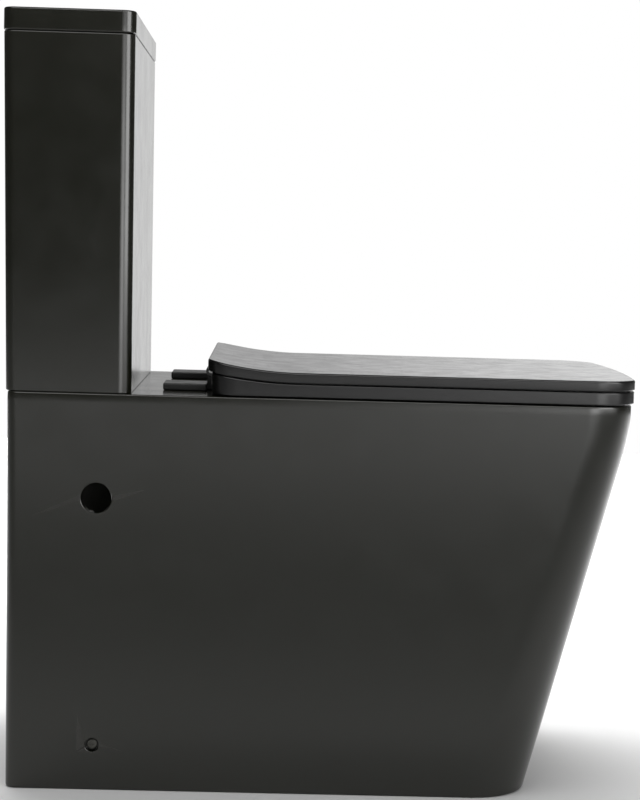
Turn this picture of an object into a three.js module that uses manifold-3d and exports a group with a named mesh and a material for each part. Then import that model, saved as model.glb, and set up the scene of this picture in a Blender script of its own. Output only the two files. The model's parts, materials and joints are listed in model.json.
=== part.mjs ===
// A close coupled toilet with a square back-to-wall pan, a slim sandwich seat and a dual-flush cistern.
// Millimetres, +Z up, front towards -Y. The origin is on the floor, in the middle of the object's plan.
import * as THREE from "three";
import { mergeVertices } from "three/addons/utils/BufferGeometryUtils.js";
import Module from "manifold-3d";

const wasm = await Module();
wasm.setup();

// ---------------------------------------------------------------- driving dimensions
const WIDTH = 365; // pan, cistern lid and seat
const DEPTH = 690; // cistern lid's back to seat's front
const RIM_HEIGHT = 428.5; // pan's rim and deck
const TANK_TOP = 806; // joint between cistern and its lid
const TOTAL_HEIGHT = 830; // top of the cistern lid
const GAP = 0.3; // between pieces that touch

const HALF = WIDTH / 2;
const BACK = DEPTH / 2;
const FRONT = -DEPTH / 2;

const CERAMIC = 12; // thickness of the pan's walls
const DECK_THICKNESS = 14;
const TANK_WALL = 9;
const TANK_FLOOR = 12;
const TANK_BOTTOM = RIM_HEIGHT + 1.5;
const TANK_INSIDE = TANK_BOTTOM + TANK_FLOOR;

const VALVE_Y = 274; // centre line of everything that passes through the cistern's floor
const COUPLING_X = 88; // close-coupling bolts, either side of the flush valve
const FILL_X = 128; // fill valve
const ACCESS_Y = 238; // side holes, one above the other
const ACCESS_Z = 317;
const ACCESS_RADIUS = 16.2;
const FIXING_Z = 49;
const SCREW_SEAT_X = 170; // step in the small hole that the side screw's head bears on

const HINGE = { y: 121, z: 452, x: 78.5 }; // seat's hinge axis and the blocks' middle
const RING_BOTTOM = 430;
const RING_TOP = 443.5;
const LID_BOTTOM = 444.8;
const LID_TOP = 456;

const ROD_X = 19;
const PUSH_ARM = 12; // flush lever, pivot to rod
const LIFT_ARM = 18; // flush lever, pivot to the piece it lifts
const LEVER_Z = 694;

// ---------------------------------------------------------------- materials
function material(color, roughness, metalness = 0) {
  return new THREE.MeshStandardMaterial({ color, roughness, metalness });
}
const ceramic = material(0x232321, 0.3);
const seatPlastic = material(0x242526, 0.35);
const hingePlastic = material(0x121212, 0.45);
const whitePlastic = material(0xe6e6e0, 0.5);
const bluePlastic = material(0x3c6d9c, 0.5);
const redPlastic = material(0xa5382e, 0.5);
const rubber = material(0x1b1b1b, 0.8);
const steel = material(0xb9bbbd, 0.35, 1);
const brass = material(0xb08d4a, 0.35, 1);

// ---------------------------------------------------------------- solids
// A closed geometry as a manifold-3d solid with its faces turned out.
function solid(geometry) {
  const bare = geometry.index ? geometry.toNonIndexed() : geometry.clone();
  for (const name of Object.keys(bare.attributes)) {
    if (name !== "position") {
      bare.deleteAttribute(name);
    }
  }
  const merged = mergeVertices(bare, 1e-4);
  const position = merged.attributes.position;
  const [a, b, c] = [new THREE.Vector3(), new THREE.Vector3(), new THREE.Vector3()];
  const triangles = [];
  let volume = 0;
  for (let i = 0; i < merged.index.count; i += 3) {
    const [p, q, r] = [0, 1, 2].map((k) => merged.index.getX(i + k));
    if (p === q || q === r || r === p) {
      continue;
    }
    triangles.push(p, q, r);
    a.fromBufferAttribute(position, p);
    b.fromBufferAttribute(position, q);
    c.fromBufferAttribute(position, r);
    volume += a.dot(b.cross(c));
  }
  if (volume < 0) {
    triangles.reverse();
  }
  return new wasm.Manifold(
    new wasm.Mesh({
      numProp: 3,
      vertProperties: Float32Array.from(position.array),
      triVerts: Uint32Array.from(triangles),
    }),
  );
}

function join(first, ...others) {
  return others.reduce((made, other) => made.add(other), first);
}

function cut(first, ...others) {
  return others.reduce((made, other) => made.subtract(other), first);
}

const toilet = new THREE.Group();

// Adds a solid to the toilet as a named mesh, at a place of its own if one is given.
function add(name, made, finish, place = [0, 0, 0]) {
  const mesh = made.getMesh();
  const geometry = new THREE.BufferGeometry();
  geometry.setAttribute("position", new THREE.BufferAttribute(mesh.vertProperties, 3));
  geometry.setIndex(new THREE.BufferAttribute(mesh.triVerts, 1));
  geometry.computeVertexNormals();
  const piece = new THREE.Mesh(geometry, finish);
  piece.name = name;
  piece.position.set(...place);
  toilet.add(piece);
  return piece;
}

function box([x0, y0, z0], [x1, y1, z1]) {
  const geometry = new THREE.BoxGeometry(x1 - x0, y1 - y0, z1 - z0);
  return solid(geometry.translate((x0 + x1) / 2, (y0 + y1) / 2, (z0 + z1) / 2));
}

// A cylinder from one height to another, standing on (x, y).
function post(radius, z0, z1, [x, y] = [0, 0], sides = 20) {
  const geometry = new THREE.CylinderGeometry(radius, radius, z1 - z0, sides);
  return solid(geometry.rotateX(Math.PI / 2).translate(x, y, (z0 + z1) / 2));
}

// A cylinder lying along X, at the height and depth given.
function bar(radius, x0, x1, [y, z], sides = 20) {
  const geometry = new THREE.CylinderGeometry(radius, radius, x1 - x0, sides);
  return solid(geometry.rotateZ(Math.PI / 2).translate((x0 + x1) / 2, y, z));
}

function bothSides(make) {
  return [make(1), make(-1)];
}

// A box given for the right-hand side, or its mirror image.
function sideBox(side, [x0, y0, z0], [x1, y1, z1]) {
  return side > 0 ? box([x0, y0, z0], [x1, y1, z1]) : box([-x1, y0, z0], [-x0, y1, z1]);
}

function sideBar(side, radius, [x0, x1], place, sides) {
  return side > 0 ? bar(radius, x0, x1, place, sides) : bar(radius, -x1, -x0, place, sides);
}

// A piece turned about Z. Its profile of [radius, height] pairs closes on itself or ends on the axis.
function turned(profile, sides = 24) {
  const points = profile.map(([r, z]) => new THREE.Vector2(r, z));
  if (profile[0][0] > 0) {
    points.push(points[0].clone());
  }
  return solid(new THREE.LatheGeometry(points, sides).rotateX(Math.PI / 2));
}

// The corner radius of a many-sided hole whose flats clear a shaft of this radius.
function around(radius, sides) {
  return radius / Math.cos(Math.PI / sides);
}

function hoop(inner, outer, z0, z1, sides = 24) {
  const hole = around(inner, sides);
  return turned([[hole, z0], [outer, z0], [outer, z1], [hole, z1]], sides);
}

function extruded(shape, depth, segments = 8) {
  return new THREE.ExtrudeGeometry(shape, { depth, bevelEnabled: false, curveSegments: segments });
}

// A surface over rings of equally many points, with a fan at each end or joined back to its first ring.
function loft(rings, closed = false) {
  const count = rings[0].length;
  const position = rings.flat().flatMap((p) => [p.x, p.y, p.z]);
  const index = [];
  const bands = closed ? rings.length : rings.length - 1;
  for (let k = 0; k < bands; k++) {
    const low = k * count;
    const high = ((k + 1) % rings.length) * count;
    for (let i = 0; i < count; i++) {
      const j = (i + 1) % count;
      index.push(low + i, low + j, high + j, low + i, high + j, high + i);
    }
  }
  if (!closed) {
    for (const end of [0, rings.length - 1]) {
      const centre = new THREE.Vector3();
      rings[end].forEach((p) => centre.addScaledVector(p, 1 / count));
      const hub = position.length / 3;
      position.push(centre.x, centre.y, centre.z);
      for (let i = 0; i < count; i++) {
        const [p, q] = [end * count + i, end * count + ((i + 1) % count)];
        index.push(...(end ? [p, q, hub] : [q, p, hub]));
      }
    }
  }
  const geometry = new THREE.BufferGeometry();
  geometry.setAttribute("position", new THREE.BufferAttribute(new Float32Array(position), 3));
  geometry.setIndex(index);
  return solid(geometry);
}

// ---------------------------------------------------------------- outlines seen from above
const FRONT_STEPS = 2;
const CORNER_STEPS = 5;
const SIDE_STEPS = 5;

// A rectangle with rounded corners and a bowed front, as [x, y] pairs anticlockwise from the front's middle.
function outline({ half, front, back, frontRadius, backRadius, bulge = 0 }, inset = 0) {
  const side = half - inset;
  const near = front + inset;
  const far = back - inset;
  const rf = Math.max(frontRadius - inset, 1);
  const rb = Math.max(backRadius - inset, 1);
  const right = [];
  for (let i = 0; i < FRONT_STEPS; i++) {
    const t = i / FRONT_STEPS;
    right.push([t * (side - rf), near + bulge * t * t]);
  }
  for (let i = 0; i <= CORNER_STEPS; i++) {
    const angle = ((i / CORNER_STEPS - 1) * Math.PI) / 2;
    right.push([side - rf + rf * Math.cos(angle), near + bulge + rf + rf * Math.sin(angle)]);
  }
  for (let i = 1; i < SIDE_STEPS; i++) {
    const t = Math.sqrt(i / SIDE_STEPS); // closer together towards the back
    right.push([side, near + bulge + rf + t * (far - rb - near - bulge - rf)]);
  }
  for (let i = 0; i <= CORNER_STEPS; i++) {
    const angle = ((i / CORNER_STEPS) * Math.PI) / 2;
    right.push([side - rb + rb * Math.cos(angle), far - rb + rb * Math.sin(angle)]);
  }
  right.push([0, far]);
  const left = right.slice(1, -1).reverse().map(([x, y]) => [-x, y]);
  return [...right, ...left];
}

function scaled(points, share, middle) {
  return points.map(([x, y]) => [x * share, middle + (y - middle) * share]);
}

// An outline lifted to a height, which may depend on y.
function ring(points, height) {
  return points.map(([x, y]) => new THREE.Vector3(x, y, typeof height === "function" ? height(y) : height));
}

// ---------------------------------------------------------------- pan
const PAN_FRONT = FRONT + 2;
const PAN_BACK = 335;
const SLOPE = 0.2545; // how far the front falls back for each millimetre down
const SLOPE_START = 399;
const SLOPE_BLEND = 28; // half the height over which the upright lip turns into the slope

// How far the pan's front stands back from the rim at a height.
function setback(z) {
  const t = (SLOPE_START + SLOPE_BLEND - z) / (2 * SLOPE_BLEND);
  if (t <= 0) {
    return 0;
  }
  if (t < 1) {
    return SLOPE * SLOPE_BLEND * t * t;
  }
  return SLOPE * (SLOPE_START - z);
}

// The pan's outline at a height: it narrows by 5 mm a side and its corners soften on the way down.
function panPlan(z) {
  const down = 1 - z / RIM_HEIGHT;
  return {
    half: HALF - 5 * down,
    front: PAN_FRONT + setback(z),
    back: PAN_BACK - 4 * down,
    frontRadius: 54 + 10 * down,
    backRadius: 12,
    bulge: 6,
  };
}

const RIM_EDGE = 8; // radius of the edge round the top of the pan

function panOutside() {
  const levels = [0, 190, 371, 385, 399, 413, RIM_HEIGHT - RIM_EDGE];
  const rings = levels.map((z) => ring(outline(panPlan(z)), z));
  for (const angle of [30, 60, 90]) {
    const a = THREE.MathUtils.degToRad(angle);
    const z = RIM_HEIGHT - RIM_EDGE + RIM_EDGE * Math.sin(a);
    rings.push(ring(outline(panPlan(z), RIM_EDGE * (1 - Math.cos(a))), z));
  }
  return loft(rings);
}

function panHollow() {
  const top = RIM_HEIGHT - DECK_THICKNESS;
  const rings = [-10, 0, 190, 389, top].map((z) => ring(outline(panPlan(Math.max(z, 0)), CERAMIC), z));
  return loft(rings);
}

// The basin at a few heights: half width, front and back.
const BASIN = [
  [82, 26, -62, 14],
  [92, 38, -82, 24],
  [130, 58, -122, 31],
  [190, 82, -182, 37],
  [270, 106, -250, 40],
  [350, 123, -287, 43],
  [405, 129, -296, 44],
  [RIM_HEIGHT + 5, 127, -294, 43],
];

// The basin's inside, or its outside with a wall.
function basin(wall) {
  const rings = BASIN.map(([z, half, front, back], i) => {
    const shape = { half, front, back, frontRadius: 0.62 * half, backRadius: 0.5 * half };
    return ring(outline(shape, -wall), i === 0 ? z - wall : z);
  });
  return loft(rings);
}

const OUTLET = { z: 185, outer: 51, bore: 43, start: 262, socket: 281, end: 321 }; // a spigot along Y
const TRAP_BORE = 28;
const TRAP_OUTSIDE = 39;

// The trapway's centre line as [y, z]: down out of the sump, up over the weir and back to the outlet.
const TRAP_LINE = [
  [-40, 118], [-5, 104], [38, 102], [76, 118], [108, 158],
  [138, 196], [176, 212], [216, 200], [250, 187], [280, OUTLET.z],
];
const TRAP = new THREE.CatmullRomCurve3(TRAP_LINE.map(([y, z]) => new THREE.Vector3(0, y, z)));

function circle(radius, sides = 16) {
  const shape = new THREE.Shape();
  for (let i = 0; i < sides; i++) {
    const angle = (2 * Math.PI * (i + 0.5)) / sides;
    const point = [radius * Math.cos(angle), radius * Math.sin(angle)];
    if (i === 0) {
      shape.moveTo(...point);
    } else {
      shape.lineTo(...point);
    }
  }
  shape.closePath();
  return shape;
}

// A round rod along a path.
function along(path, radius, steps, sides) {
  const options = { steps, extrudePath: path, bevelEnabled: false };
  return solid(new THREE.ExtrudeGeometry(circle(radius, sides), options));
}

// A cylinder lying along Y.
function barY(radius, y0, y1, [x, z], sides = 24) {
  const geometry = new THREE.CylinderGeometry(radius, radius, y1 - y0, sides);
  return solid(geometry.translate(x, (y0 + y1) / 2, z));
}

const INLET = { radius: 46, floor: 399, hole: 34 }; // the seat in the deck for the coupling gasket
const DUCT = { half: 34, bottom: 345, top: 384 }; // flush water's way from the inlet to the basin
const BACK_WINDOW = { half: 112, top: 335 }; // the opening in the pan's back, for the pipes
const FILL_HOLE = 18; // radii of the holes in the deck
const COUPLING_HOLE = 8;
const SEAT_HOLE = 6;
const SCREW_HEAD_HOLE = 7.2; // radii of the small hole in each side, outside and inside its step
const SCREW_HOLE = 3.4;
const THROUGH = 5; // how far a cutter runs past the face it cuts
const HINGE_BOLT_Y = 144;

function deckDrill(radius, x, y, sides) {
  return post(radius, RIM_HEIGHT - 30, RIM_HEIGHT + THROUGH, [x, y], sides);
}

function pan() {
  const inletCup = post(INLET.radius + CERAMIC, DUCT.bottom - CERAMIC, RIM_HEIGHT - 5, [0, VALVE_Y], 24);
  const ductOutside = box(
    [-DUCT.half - CERAMIC, 40, DUCT.bottom - CERAMIC],
    [DUCT.half + CERAMIC, VALVE_Y, DUCT.top + CERAMIC],
  );
  const spigot = barY(OUTLET.outer, OUTLET.start, OUTLET.end, [0, OUTLET.z], 28);
  const inside = cut(
    panHollow(),
    basin(CERAMIC),
    along(TRAP, TRAP_OUTSIDE, 18, 12),
    inletCup,
    ductOutside,
    spigot,
  );
  const windowBox = box([-BACK_WINDOW.half, OUTLET.end - 20, -10], [BACK_WINDOW.half, BACK, BACK_WINDOW.top]);
  const hollowed = cut(panOutside(), inside, cut(windowBox, spigot), basin(0));
  const waterway = cut(
    hollowed,
    along(TRAP, TRAP_BORE, 18, 12),
    barY(TRAP_BORE, OUTLET.start, OUTLET.socket + 19, [0, OUTLET.z], 12),
    barY(OUTLET.bore, OUTLET.socket, BACK, [0, OUTLET.z], 28),
    post(INLET.radius, INLET.floor, RIM_HEIGHT + THROUGH, [0, VALVE_Y], 32),
    post(INLET.hole, DUCT.bottom, INLET.floor + 1, [0, VALVE_Y], 24),
    box([-DUCT.half, 20, DUCT.bottom], [DUCT.half, VALVE_Y, DUCT.top]),
  );
  const sideHoles = bothSides((side) =>
    join(
      sideBar(side, ACCESS_RADIUS, [HALF - 30, HALF + THROUGH], [ACCESS_Y, ACCESS_Z], 28),
      sideBar(side, SCREW_HOLE, [HALF - 30, HALF + THROUGH], [ACCESS_Y, FIXING_Z], 12),
      sideBar(side, SCREW_HEAD_HOLE, [SCREW_SEAT_X, HALF + THROUGH], [ACCESS_Y, FIXING_Z], 20),
    ),
  );
  const deckHoles = bothSides((side) =>
    join(
      deckDrill(COUPLING_HOLE, side * COUPLING_X, VALVE_Y, 16),
      deckDrill(SEAT_HOLE, side * HINGE.x, HINGE_BOLT_Y, 16),
    ),
  );
  return cut(waterway, deckDrill(FILL_HOLE, FILL_X, VALVE_Y, 20), ...deckHoles, ...sideHoles);
}

// ---------------------------------------------------------------- cistern
function tankPlan(z, inset) {
  const up = (z - TANK_BOTTOM) / (TANK_TOP - TANK_BOTTOM);
  const shape = {
    half: 179 + 3 * up,
    front: 204 + 3.3 * up,
    back: 337 + 7.5 * up,
    frontRadius: 14,
    backRadius: 12,
    bulge: 0,
  };
  return ring(outline(shape, inset), z);
}

const FLUSH_SHANK_HOLE = 32.5; // radii of the holes in the cistern's floor
const FILL_SHANK_HOLE = 14;
const BOLT_HOLE = 6;

function cisternTank() {
  const outside = loft([
    tankPlan(TANK_BOTTOM, 5),
    tankPlan(TANK_BOTTOM + 1.5, 1.5),
    tankPlan(TANK_BOTTOM + 5, 0),
    tankPlan(TANK_TOP, 0),
  ]);
  const inside = loft([tankPlan(TANK_INSIDE, TANK_WALL), tankPlan(TANK_TOP + THROUGH, TANK_WALL)]);
  const drill = (radius, x, sides) => {
    return post(radius, TANK_BOTTOM - THROUGH, TANK_INSIDE + THROUGH, [x, VALVE_Y], sides);
  };
  return cut(
    outside,
    inside,
    drill(FLUSH_SHANK_HOLE, 0, 32),
    drill(FILL_SHANK_HOLE, FILL_X, 20),
    ...bothSides((side) => drill(BOLT_HOLE, side * COUPLING_X, 16)),
  );
}

const LID_PLAN = { half: HALF, front: 206.5, back: BACK, frontRadius: 15, backRadius: 13, bulge: 0 };
const BUTTON_HOLE = 30;
const LID_THICKNESS = 11; // where the bezel passes through the lid

// A cover with a rounded top edge and a tongue that locates it inside the cistern's walls.
function cisternLid() {
  const bottom = TANK_TOP + 0.5;
  const edge = 10;
  const at = (inset, z) => ring(outline(LID_PLAN, inset), z);
  const rings = [at(2, bottom), at(0, bottom + 1.5), at(0, TOTAL_HEIGHT - edge)];
  for (const angle of [30, 60, 90]) {
    const a = THREE.MathUtils.degToRad(angle);
    rings.push(at(edge * (1 - Math.cos(a)), TOTAL_HEIGHT - edge + edge * Math.sin(a)));
  }
  const tongue = loft([at(14, bottom - 9), at(14, bottom + 2)]);
  const hollow = loft([at(22, bottom - 15), at(22, TOTAL_HEIGHT - LID_THICKNESS)]);
  const hole = post(BUTTON_HOLE, bottom, TOTAL_HEIGHT + THROUGH, [0, VALVE_Y], 28);
  return cut(join(loft(rings), tongue), hollow, hole);
}

// ---------------------------------------------------------------- flush buttons
// All of these are made about their own axis, with the top of the cistern lid at height 0.
const BARREL = 28.6; // the bezel's threaded barrel
const BARREL_BORE = 26.2;
const BARREL_END = -32;
const SPLIT_X = 5; // where the two buttons meet

function buttonBezel() {
  const body = turned([
    [0, BARREL_END], [BARREL, BARREL_END], [BARREL, GAP], [33.5, GAP], [33.5, 2], [31.5, 3.6],
    [BARREL_BORE + 1, 4], [BARREL_BORE, 3], [BARREL_BORE, BARREL_END + 4], [0, BARREL_END + 4],
  ], 28);
  const rodHoles = bothSides((side) => post(3.6, BARREL_END - THROUGH, 0, [side * ROD_X, 0], 12));
  return cut(body, ...rodHoles);
}

// The ring under the lid that clamps the bezel, with four notches to grip it by.
function buttonNut() {
  const top = -LID_THICKNESS - GAP;
  const notch = box([32.5, -4, top - 10], [40, 4, top + THROUGH]);
  const notches = [0, 90, 180, 270].map((turn) => notch.rotate([0, 0, turn]));
  return cut(hoop(BARREL + GAP, 36, top - 7, top, 28), ...notches);
}

// One of the two buttons: part of a disc with a skirt, and a boss for its rod.
function flushButton(side) {
  const disc = turned([[0, 0.5], [25.2, 0.5], [25.8, 3.4], [24.6, 5], [0, 5.6]], 28);
  const skirt = hoop(23.8, 25.2, -8, 1, 28);
  const edge = SPLIT_X + side * 0.4;
  const other = side < 0 ? box([edge, -40, -40], [60, 40, 40]) : box([-60, -40, -40], [edge, 40, 40]);
  const boss = post(4.2, -6, 1, [side * ROD_X, 0], 12);
  const rodSocket = post(2.8, -10, -1.5, [side * ROD_X, 0], 12);
  return cut(join(cut(join(disc, skirt), other), boss), rodSocket);
}

const ROD_TIP = 3.6; // how far a rod ends above its lever's centre line
const ROD_END = LEVER_Z + ROD_TIP - TOTAL_HEIGHT;

// A rod from button to lever, with a thicker grip in the middle.
function flushRod(side) {
  const at = [side * ROD_X, 0];
  return join(post(2.4, ROD_END, -2, at, 10), post(3.2, -60, -40, at, 10));
}

// A helix that climbs from its start.
class Helix extends THREE.Curve {
  constructor(radius, turns, height) {
    super();
    Object.assign(this, { radius, turns, height });
  }

  getPoint(t, target = new THREE.Vector3()) {
    const angle = 2 * Math.PI * this.turns * t;
    return target.set(this.radius * Math.cos(angle), this.radius * Math.sin(angle), this.height * t);
  }
}

const SPRING_END = BARREL_END + 5; // the end that rests on the bezel's floor
const SPRING_HEIGHT = 18;

function buttonSpring(side) {
  return along(new Helix(5.4, 3, SPRING_HEIGHT), 0.6, 24, 4).translate([side * ROD_X, 0, SPRING_END]);
}

// ---------------------------------------------------------------- flush valve, about its own axis
const SEAT_Z = TANK_INSIDE + 9; // where the seal closes
const FLANGE_Z = TANK_INSIDE + 3 + GAP; // valves' flanges, on their rubber washers
const CAGE_JOINT = 498; // between the base and the tower
const TOWER_TOP = 676;
const TUBE_TOP = 716;
const WEB = 1.6; // half the thickness of a flush lever
const CAM = 5; // radius of a flush lever's lifting end

// The outlet shank with its flange, and the lower half of the cage.
function flushValveBase() {
  const body = turned([
    [25, 383], [29, 383], [29, FLANGE_Z], [41, FLANGE_Z], [41, FLANGE_Z + 4], [37, FLANGE_Z + 5],
    [37, CAGE_JOINT], [34, CAGE_JOINT], [34, SEAT_Z - 3], [27, SEAT_Z - 1], [25, SEAT_Z - 1],
  ], 18);
  const windows = [0, 60, 120].map((turn) => box([-60, -11, 460], [60, 11, 490]).rotate([0, 0, turn]));
  return cut(body, ...windows);
}

const PIVOT_PIN = 1.4;
const PIVOT_HOLE = PIVOT_PIN + GAP;

// The upper half of the cage, with the levers' pivots on its shelf.
function flushValveTower() {
  const shell = turned([
    [34, CAGE_JOINT + GAP], [37, CAGE_JOINT + GAP], [37, 640], [30, 650], [30, TOWER_TOP], [16.5, TOWER_TOP],
    [16.5, TOWER_TOP - 4], [27, TOWER_TOP - 4], [27, 651], [34, 641],
  ], 18);
  const windows = [30, 90, 150].map((turn) => box([-60, -10, 520], [60, 10, 610]).rotate([0, 0, turn]));
  const shelf = box([-28, -19, TOWER_TOP - 4], [28, 19, TOWER_TOP]);
  // a pair of ears holds each lever's pivot
  const ears = bothSides((side) => {
    const y = -side * PUSH_ARM;
    const pair = [-4.9, 2.9].map((offset) => {
      const x = side * ROD_X + offset;
      return join(
        box([x, y - 5, TOWER_TOP - 3], [x + 2, y + 5, LEVER_Z]),
        bar(5, x, x + 2, [y, LEVER_Z], 12),
      );
    });
    return cut(join(...pair), bar(PIVOT_HOLE, side * ROD_X - 8, side * ROD_X + 8, [y, LEVER_Z], 10));
  });
  const tubeWay = post(16.5, TOWER_TOP - 10, TOWER_TOP + THROUGH);
  const cage = cut(join(cut(shell, ...windows), shelf), tubeWay);
  return join(cage, ...ears);
}

const PLATE_Z = LEVER_Z + CAM + 0.6; // underside of what the levers lift

// The tube that the full flush lifts: a disc for the seal below and a plate over the lever above.
function overflowTube() {
  const tube = turned([
    [12.6, SEAT_Z + 4], [28, SEAT_Z + 4], [28, SEAT_Z + 7], [15, SEAT_Z + 9],
    [15, TUBE_TOP], [12.6, TUBE_TOP],
  ], 20);
  const reach = PUSH_ARM + LIFT_ARM;
  const plate = join(
    post(18, PLATE_Z, PLATE_Z + 3, [0, 0], 20),
    box([-ROD_X - 4, 12, PLATE_Z], [0, reach + 5, PLATE_Z + 3]),
  );
  const besideRods = box([-30, -30, PLATE_Z - 5], [30, 4, PLATE_Z + 8]);
  return join(tube, cut(plate, post(14, PLATE_Z - 5, PLATE_Z + 8, [0, 0], 20), besideRods));
}

function flushSeal() {
  return hoop(14, 31, SEAT_Z - 0.7, SEAT_Z + 4 - GAP, 18);
}

// A rocker: pushed down by its rod at one end, it lifts at the other.
function flushLever(side) {
  const x = [side * ROD_X - 2.4, side * ROD_X + 2.4];
  const pivot = -side * PUSH_ARM;
  const lift = pivot - side * LIFT_ARM;
  const web = box([x[0], Math.min(0, lift), LEVER_Z - WEB], [x[1], Math.max(0, lift), LEVER_Z + WEB]);
  const ends = [[0, 3], [pivot, 3.4], [lift, CAM]];
  const rounds = ends.map(([y, radius]) => bar(radius, ...x, [y, LEVER_Z], 12));
  return cut(join(web, ...rounds), bar(PIVOT_HOLE, x[0] - THROUGH, x[1] + THROUGH, [pivot, LEVER_Z], 10));
}

function leverPin(side) {
  return bar(PIVOT_PIN, side * ROD_X - 6.5, side * ROD_X + 6.5, [-side * PUSH_ARM, LEVER_Z], 8);
}

// The small float that times the half flush: a cup, a stem beside the tower and a toe over the lever.
function halfFlushFloat() {
  const lift = -PUSH_ARM - LIFT_ARM;
  const [stem, cup] = [lift - 8, lift - 16];
  return join(
    cut(post(10, 560, 596, [ROD_X, cup], 16), post(8.4, 555, 593, [ROD_X, cup], 16)),
    box([ROD_X - 2, cup, 593], [ROD_X + 2, stem + 3, 596]),
    box([ROD_X - 2, stem, 590], [ROD_X + 2, stem + 3, PLATE_Z + 3]),
    box([ROD_X - 2, stem, PLATE_Z], [ROD_X + 2, lift + 3, PLATE_Z + 3]),
  );
}

// ---------------------------------------------------------------- fill valve, about its own axis
const FLOAT_TRAVEL = 20;
const ARM = 45; // fill arm, pivot to the float's link
const ARM_PIVOT = { x: 22, z: 712 };
const DROOP = FLOAT_TRAVEL / ARM / 2; // angle of the arm below level when the float is down
const LINK_X = ARM_PIVOT.x - ARM;

// A column with a head that holds the arm's pivot between two cheeks.
function fillValveBody() {
  const body = turned([
    [4, 396], [10, 396], [10, FLANGE_Z], [19, FLANGE_Z], [19, FLANGE_Z + 4], [12, FLANGE_Z + 6],
    [9, FLANGE_Z + 20], [9, 694], [13, 697], [13, 718], [10, 721], [0, 721], [0, 700], [4, 698],
  ], 16);
  const cheeks = [-7, 4].map((y) => box([9, y, 705], [ARM_PIVOT.x + 4, y + 3, 719]));
  return cut(join(body, ...cheeks), barY(PIVOT_HOLE, -10, 10, [ARM_PIVOT.x, ARM_PIVOT.z], 10));
}

// Turns a piece of the fill arm from level to where it lies with the float down.
function drooped(piece) {
  return piece
    .translate([-ARM_PIVOT.x, 0, -ARM_PIVOT.z])
    .rotate([0, -THREE.MathUtils.radToDeg(DROOP), 0])
    .translate([ARM_PIVOT.x, 0, ARM_PIVOT.z]);
}

const ARM_RISE = 19; // the arm's beam above its pivot
const BEAM = 3; // and its thickness

// An arm over the valve's head, with a slotted eye for the float's link.
function fillArm() {
  const z = ARM_PIVOT.z + ARM_RISE;
  const beam = join(
    box([LINK_X + 10, -3.2, z], [ARM_PIVOT.x + 3, 3.2, z + BEAM]),
    box([ARM_PIVOT.x - 3, -3.2, ARM_PIVOT.z], [ARM_PIVOT.x + 3, 3.2, z + BEAM]),
    barY(3.4, -3.2, 3.2, [ARM_PIVOT.x, ARM_PIVOT.z], 12),
    box([LINK_X - 11, -5.5, z], [LINK_X + 11, 5.5, z + BEAM]),
  );
  const slot = box([LINK_X - 8.5, -2.9, z - 5], [LINK_X + 8.5, 2.9, z + 8]);
  return drooped(cut(beam, slot, barY(PIVOT_HOLE, -10, 10, [ARM_PIVOT.x, ARM_PIVOT.z], 10)));
}

function fillArmPin() {
  return barY(PIVOT_PIN, -8.5, 8.5, [ARM_PIVOT.x, ARM_PIVOT.z], 8);
}

// A cup upside down round the valve's column, with a link up to the arm.
function fillFloat() {
  const cup = cut(hoop(11, 28, 590, 640, 16), hoop(13.5, 25.5, 580, 637, 16));
  const armZ = ARM_PIVOT.z - ARM * Math.tan(DROOP) + (ARM_RISE + BEAM / 2) / Math.cos(DROOP);
  const link = post(2, 638, armZ + 9, [LINK_X, 0], 10);
  const collars = [armZ - 5, armZ + 5].map((z) => post(4.2, z - 1.2, z + 1.2, [LINK_X, 0], 12));
  return join(cup, link, ...collars);
}

// ---------------------------------------------------------------- fasteners and rubber
// A bolt with its head up, the underside of the head at height 0.
function bolt(headRadius, headHeight, radius, length) {
  return turned([
    [0, -length], [radius, -length], [radius, 0], [headRadius, 0], [headRadius, headHeight * 0.6],
    [headRadius * 0.75, headHeight], [0, headHeight],
  ], 12);
}

function hexNut(corner, bore, height) {
  const hole = post(around(bore, 24), -THROUGH, height + THROUGH, [0, 0], 24);
  return cut(post(corner, 0, height, [0, 0], 6), hole);
}

const BOLT_RADIUS = 4;

function wingNut() {
  const shape = new THREE.Shape();
  shape.moveTo(5, -4);
  shape.lineTo(16, -8);
  shape.quadraticCurveTo(20, -4, 16, 0);
  shape.lineTo(6, 4);
  shape.closePath();
  const wing = solid(extruded(shape, 3, 3).translate(0, 0, -1.5).rotateX(Math.PI / 2));
  const hub = turned([[0, -5], [9, -5], [7, 5], [0, 5]], 16);
  return cut(join(hub, wing, wing.rotate([0, 0, 180])), post(BOLT_RADIUS + GAP, -20, 20, [0, 0], 16));
}

// The thick rubber cup that seals the cistern to the pan round the flush valve's nut.
function couplingGasket() {
  const outer = INLET.radius - GAP;
  const bottom = INLET.floor + GAP;
  return turned([
    [30, bottom], [outer, bottom], [outer, TANK_BOTTOM - GAP], [39.5, TANK_BOTTOM - GAP],
    [39.5, 405], [30, 405],
  ], 28);
}

// ---------------------------------------------------------------- seat
const SEAT_PLAN = { half: HALF, front: FRONT, back: 123.5, frontRadius: 48, backRadius: 26, bulge: 6 };
const RING_PLAN = { ...SEAT_PLAN, half: HALF - 0.5, front: FRONT + 0.5, back: 119.5 };
const RING_HOLE = { half: 112, front: -282, back: 6, frontRadius: 88, backRadius: 60, bulge: 4 };
const SEAT_MIDDLE = (FRONT + SEAT_PLAN.back) / 2;
const RISE_START = 22.5;
const FOLLOW = 0.85; // share of the lid's rise that its lower edge and the ring's top follow
const SHELL = 5; // thickness of the lid's top

// The seat sweeps up towards the hinges.
function rise(y) {
  return y > RISE_START ? 0.00116 * (y - RISE_START) ** 2 : 0;
}

// Heights, as functions of y, a little below the lid's top or above its lower edge.
function lidTop(drop) {
  return (y) => LID_TOP + rise(y) - drop;
}

function lidBottom(lift) {
  return (y) => LID_BOTTOM + FOLLOW * rise(y) + lift;
}

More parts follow.
